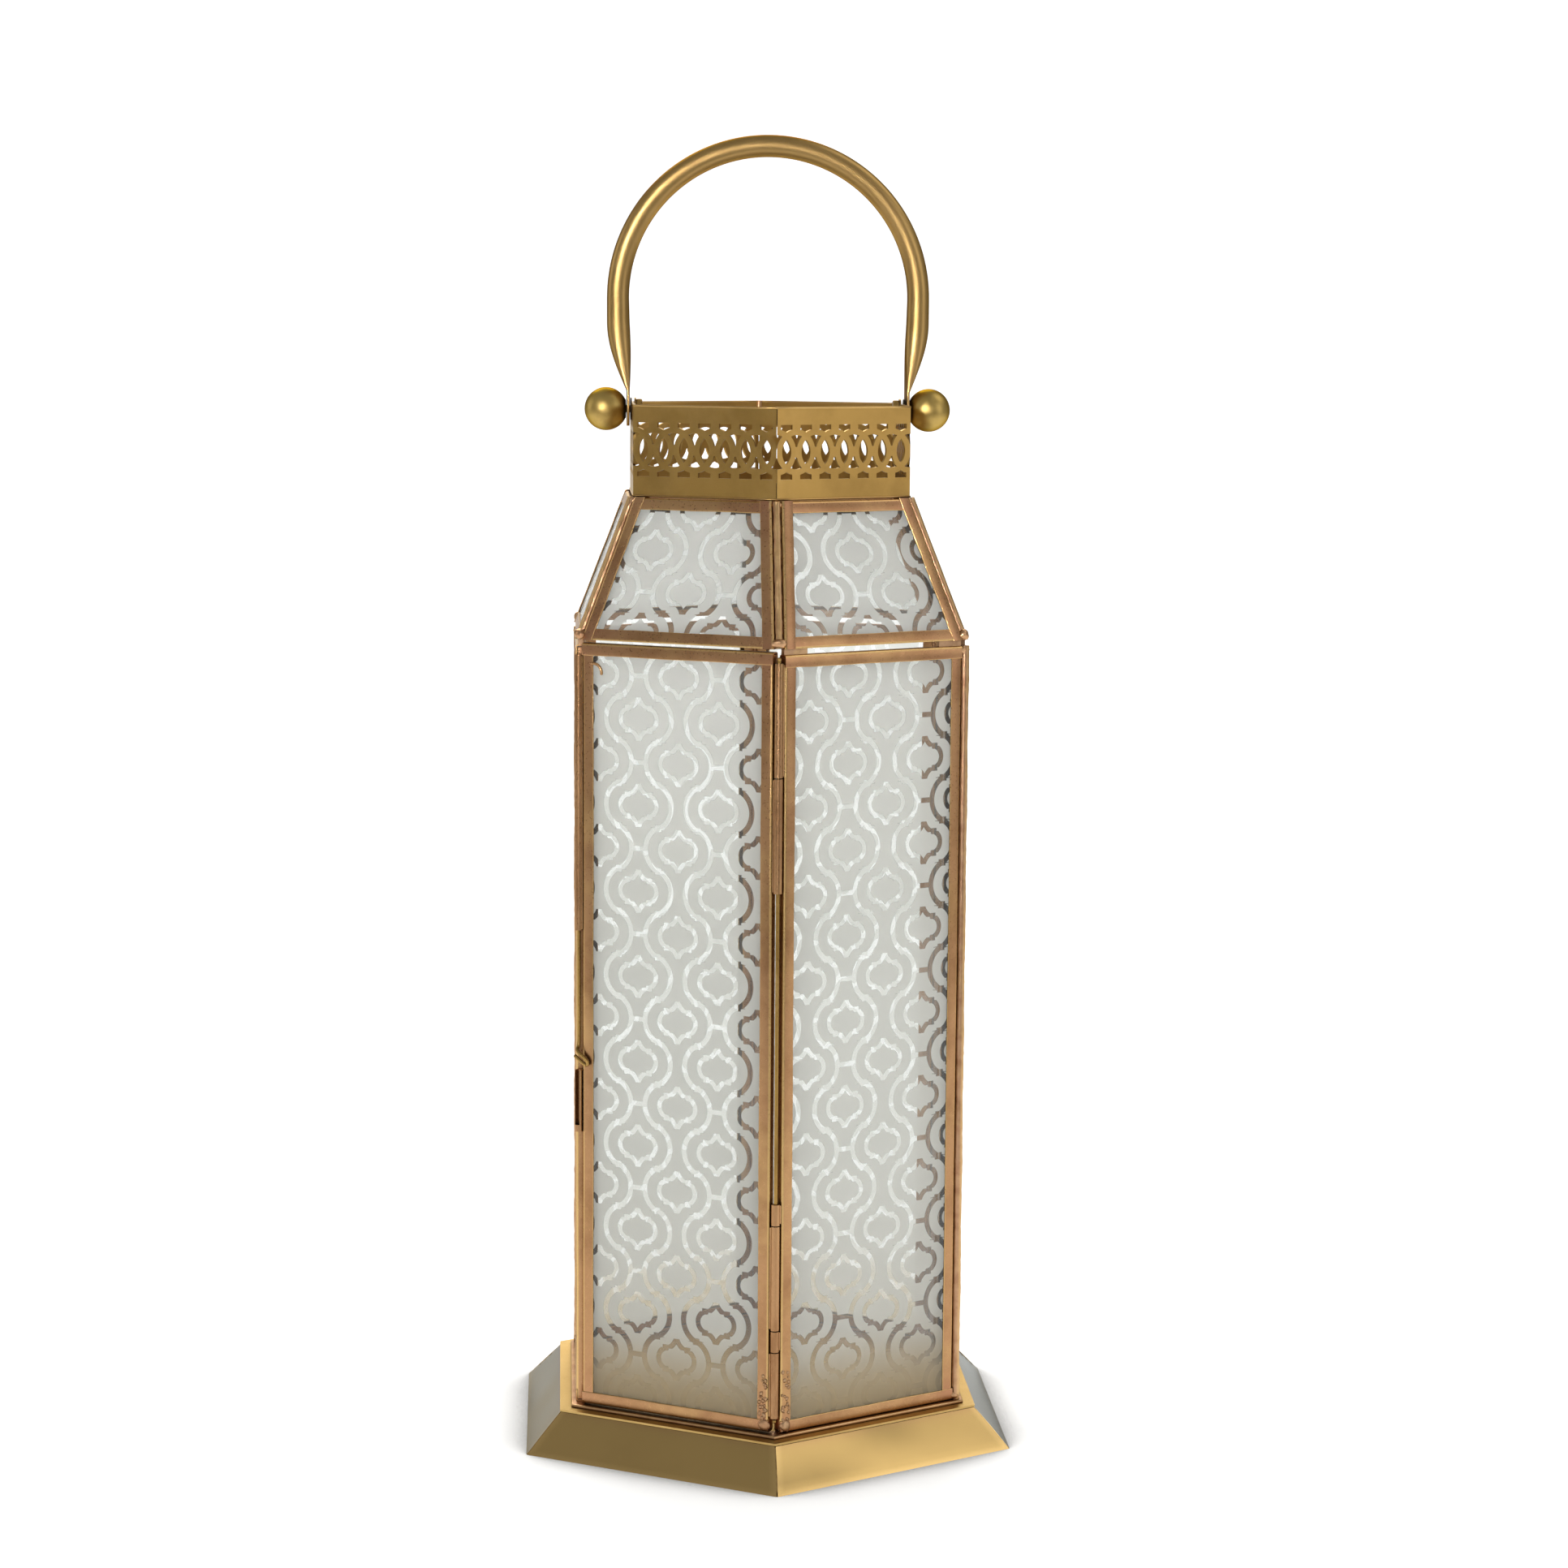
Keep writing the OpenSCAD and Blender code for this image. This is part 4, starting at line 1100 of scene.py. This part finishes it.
class LANTERN_OT_collar_edges(bpy.types.Operator):
    """Dress the collar's upper and lower edges with a thin rounded rim"""

    bl_idname = "lantern.collar_edges"
    bl_label = "Collar rims"

    def execute(self, context):
        r = context.scene.lantern_sizes.rim_r
        a = np.linspace(0, 2 * math.pi, 12, endpoint=False)
        ring = r * np.stack([np.cos(a), np.sin(a)], -1)
        shell = Shell("collar_rims")
        middle = COLLAR_APOTHEM - 0.45 * MM
        upper = ring * np.array([1.5, 1])
        lower = ring * np.array([1.7, 1])
        hexagon_bead(shell, middle, COLLAR_Z[1] - r, upper, 0.8, 0.0, 900, 0.02)
        hexagon_bead(shell, middle + 0.1 * MM, COLLAR_Z[0] + r, lower, 0.5, 0.5, 901, 0.04)
        shell.make(finish_named("pierced_sheet_brass"), "lantern", slot="pierced_brass", smooth=60)
        return {"FINISHED"}


class LANTERN_OT_solder(bpy.types.Operator):
    """Drop the blobs of solder that hold the frames together at their corners"""

    bl_idname = "lantern.solder"
    bl_label = "Solder blobs"

    def execute(self, context):
        sizes = context.scene.lantern_sizes
        shell = Shell("corner_solder_blobs")
        seed = 1000
        for corner in CORNERS:
            way = corner_way(corner)
            across = np.cross(UP, way)
            axes = (way, across, UP)
            eaves = way * (EAVES_APOTHEM / COS30 - 2.4 * MM) + UP * (ROOF_Z[0] + 1.9 * MM)
            crown = way * (sizes.roof_top_r - 2.2 * MM) + UP * (ROOF_Z[1] - 1.5 * MM)
            lump(shell, eaves, np.array((2.0, 2.9, 1.9)) * MM, axes, seed)
            lump(shell, crown, np.array((1.7, 2.3, 1.5)) * MM, axes, seed + 1)
            if corner in BEADED_CORNERS:
                foot = way * (AXIS_R - 0.7 * MM) + UP * (BODY_Z[0] + 1.6 * MM)
                head = way * (AXIS_R - 0.7 * MM) + UP * (BODY_Z[1] - 1.5 * MM)
                lump(shell, foot, np.array((2.2, 2.8, 1.9)) * MM, axes, seed + 2)
                lump(shell, head, np.array((2.0, 2.6, 1.6)) * MM, axes, seed + 3)
            seed += 10
        shell.make(finish_named("coppered_solder_bead"), "lantern", slot="soldered_brass_bead", smooth=60)

        # Grains of solder on the lower end of the stiles either side of the hinge
        grain_count = 46
        grains_high = 23 * MM
        for name, normal, side, bottom, body in (
                ("door_foot_solder", DOOR_FACE, 1, DOOR_Z[0], "door"),
                ("sill_foot_solder", FACES["front_right"], -1, BODY_Z[0], "lantern")):
            grains = Shell(name)
            right, up, out = facing(normal)
            rng = np.random.default_rng(77 + side)
            for k in range(grain_count):
                height = grains_high * rng.uniform() ** 1.6
                place = side * (BODY_HALF_W - rng.uniform(0.6, 3.9) * MM)
                centre = (out * (BODY_APOTHEM - 0.35 * MM) + right * place
                          + UP * (bottom + 0.8 * MM + height))
                size = rng.uniform(0.35, 0.85)
                lump(grains, centre, np.array((size, 1.2 * size, 0.55)) * MM, (right, up, out), 90 + k,
                     rows=6, columns=8)
            foot = out * (BODY_APOTHEM - 0.5 * MM) + right * side * (BODY_HALF_W - 2.0 * MM)
            lump(grains, foot + UP * (bottom + 2.6 * MM), np.array((2.4, 2.2, 1.1)) * MM,
                 (right, up, out), 88)
            grains.make(finish_named("wiped_tin_solder"), body, slot="soldered_brass_bead", smooth=60)
        return {"FINISHED"}


# ---- stage ----
def backdrop(width, front, depth, height, bend):
    """A floor that bends up into a wall: straight, then a quarter circle, then straight."""
    a = np.linspace(0, 0.5 * math.pi, 16)
    y = np.concatenate([[-front], depth - bend + bend * np.sin(a), [depth]])
    z = np.concatenate([[0.0], bend - bend * np.cos(a), [height]])
    x = np.array([-width, width])
    points = np.stack([np.broadcast_to(x, (len(y), 2)), np.repeat(y[:, None], 2, 1),
                       np.repeat(z[:, None], 2, 1)], -1)
    return points.reshape(-1, 3), grid_quads(len(y), 2)


class LANTERN_OT_stage(bpy.types.Operator):
    """Set up the pale sweep, the soft lights and the camera"""

    bl_idname = "lantern.stage"
    bl_label = "Stage, lights and camera"

    def execute(self, context):
        scene = context.scene
        points, faces = backdrop(width=1.25, front=0.55, depth=3.0, height=2.4, bend=0.8)
        mesh = bpy.data.meshes.new("pale_sweep")
        mesh.from_pydata(points.tolist(), [], faces)
        mesh.shade_smooth()
        sweep = bpy.data.objects.new("pale_sweep", mesh)
        scene.collection.objects.link(sweep)
        material, tree = new_material("white_paper_sweep")
        # painted contact shadow: ambient occlusion darkens the sweep's colour and dims its glow next to the
        # lantern
        open_sky = add(tree, "ShaderNodeAmbientOcclusion", {"Distance": 0.028}).outputs["AO"]
        clear_of = add(tree, "ShaderNodeMapRange", {"Value": open_sky, "From Min": 0.74,
                                                    "From Max": 0.96}).outputs[0]
        lit = add(tree, "ShaderNodeMath", {0: clear_of, 1: 0.56}, operation="MULTIPLY").outputs[0]
        shadow = opaque(linear("#3A3834"))
        white = opaque(linear("#F4F4F2"))
        tone = add(tree, "ShaderNodeMix", {0: clear_of, 6: shadow, 7: white}, data_type="RGBA").outputs[2]
        paper = add(tree, "ShaderNodeBsdfPrincipled", {
            "Base Color": tone, "Roughness": 0.9,
            "Emission Color": (1.0, 1.0, 1.0, 1.0), "Emission Strength": lit})
        add(tree, "ShaderNodeOutputMaterial", {"Surface": paper.outputs[0]})
        mesh.materials.append(material)

        world = bpy.data.worlds.new("studio_air")
        scene.world = world
        world.use_nodes = True
        world.node_tree.nodes["Background"].inputs["Color"].default_value = (1.0, 1.0, 1.0, 1.0)
        world.node_tree.nodes["Background"].inputs["Strength"].default_value = 0.34

        # name, place, size, power in watts, spread in degrees and the point it looks at
        middle = np.array([0.0, 0.0, 0.22])
        handle_middle = np.array([0.0, 0.0, 0.47])
        lights = (("right_softbox", (1.7, -1.1, 0.8), (0.8, 1.4), 5.0, 180, middle),
                  ("left_softbox", (-1.7, 0.4, 0.7), (0.5, 1.3), 2.5, 180, middle),
                  ("front_softbox", (-0.4, -2.0, 0.6), (1.1, 1.0), 6.0, 180, middle),
                  ("rear_softbox", (-0.2, 1.9, 1.75), (1.6, 0.9), 26.0, 180, middle),
                  ("upper_right_softbox", (1.2, 0.2, 1.8), (1.1, 1.1), 5.0, 180, middle),
                  ("handle_softbox", (-0.7, -1.6, 0.8), (0.45, 0.45), 0.36, 9, handle_middle))
        for name, place, size, power, spread, aim in lights:
            lamp = bpy.data.lights.new(name, "AREA")
            lamp.shape = "RECTANGLE"
            lamp.size, lamp.size_y = size
            lamp.energy = power
            lamp.spread = math.radians(spread)
            holder = bpy.data.objects.new(name, lamp)
            scene.collection.objects.link(holder)
            holder.location = place
            direction = aim - np.array(place)
            rise = math.atan2(direction[2], math.hypot(*direction[:2]))
            turn = math.atan2(direction[1], direction[0])
            holder.rotation_euler = (math.pi / 2 + rise, 0.0, turn - math.pi / 2)

        camera = bpy.data.cameras.new("camera")
        camera.lens = 81.28
        camera.sensor_width = 36.0
        eye = bpy.data.objects.new("camera", camera)
        scene.collection.objects.link(eye)
        eye.location = (-0.0774, -1.3445, 0.4199)
        heading = math.radians(-3.6)
        pitch = math.radians(90 - 7.296)
        roll = math.radians(0.41)
        eye.rotation_mode = "QUATERNION"
        eye.rotation_quaternion = (Matrix.Rotation(heading, 3, "Z") @ Matrix.Rotation(pitch, 3, "X")
                                   @ Matrix.Rotation(roll, 3, "Z")).to_quaternion()
        scene.camera = eye
        scene.view_settings.view_transform = "Standard"
        return {"FINISHED"}


BUILD_ORDER = ("stage", "finishes", "glass", "side_frames", "roof_frames", "corner_beads", "base",
               "handle", "knobs", "nuts", "latch", "collar_edges", "solder")
OPERATORS = (LANTERN_OT_stage, LANTERN_OT_finishes, LANTERN_OT_glass, LANTERN_OT_side_frames,
             LANTERN_OT_roof_frames, LANTERN_OT_corner_beads, LANTERN_OT_base, LANTERN_OT_handle,
             LANTERN_OT_knobs, LANTERN_OT_nuts, LANTERN_OT_latch, LANTERN_OT_collar_edges,
             LANTERN_OT_solder)


class LANTERN_PT_panel(bpy.types.Panel):
    """Lists the steps that build the lantern"""

    bl_idname = "LANTERN_PT_panel"
    bl_label = "Glazed brass lantern"
    bl_space_type = "VIEW_3D"
    bl_region_type = "UI"
    bl_category = "Lantern"

    def draw(self, context):
        for group in (context.scene.lantern_sizes, context.scene.lantern_colours):
            for key in group.__annotations__:
                self.layout.prop(group, key)
        for operator in OPERATORS:
            self.layout.operator(operator.bl_idname)


CLASSES = (LanternSizes, LanternColours, *OPERATORS, LANTERN_PT_panel)


def register():
    """Registers the classes and hangs the settings on the scene."""
    for cls in CLASSES:
        bpy.utils.register_class(cls)
    bpy.types.Scene.lantern_sizes = bpy.props.PointerProperty(type=LanternSizes)
    bpy.types.Scene.lantern_colours = bpy.props.PointerProperty(type=LanternColours)


def unregister():
    """Takes the settings and classes away again."""
    del bpy.types.Scene.lantern_sizes
    del bpy.types.Scene.lantern_colours
    for cls in reversed(CLASSES):
        bpy.utils.unregister_class(cls)


def main():
    """Builds everything."""
    register()
    for step in BUILD_ORDER:
        getattr(bpy.ops.lantern, step)()


if __name__ == "__main__":
    main()
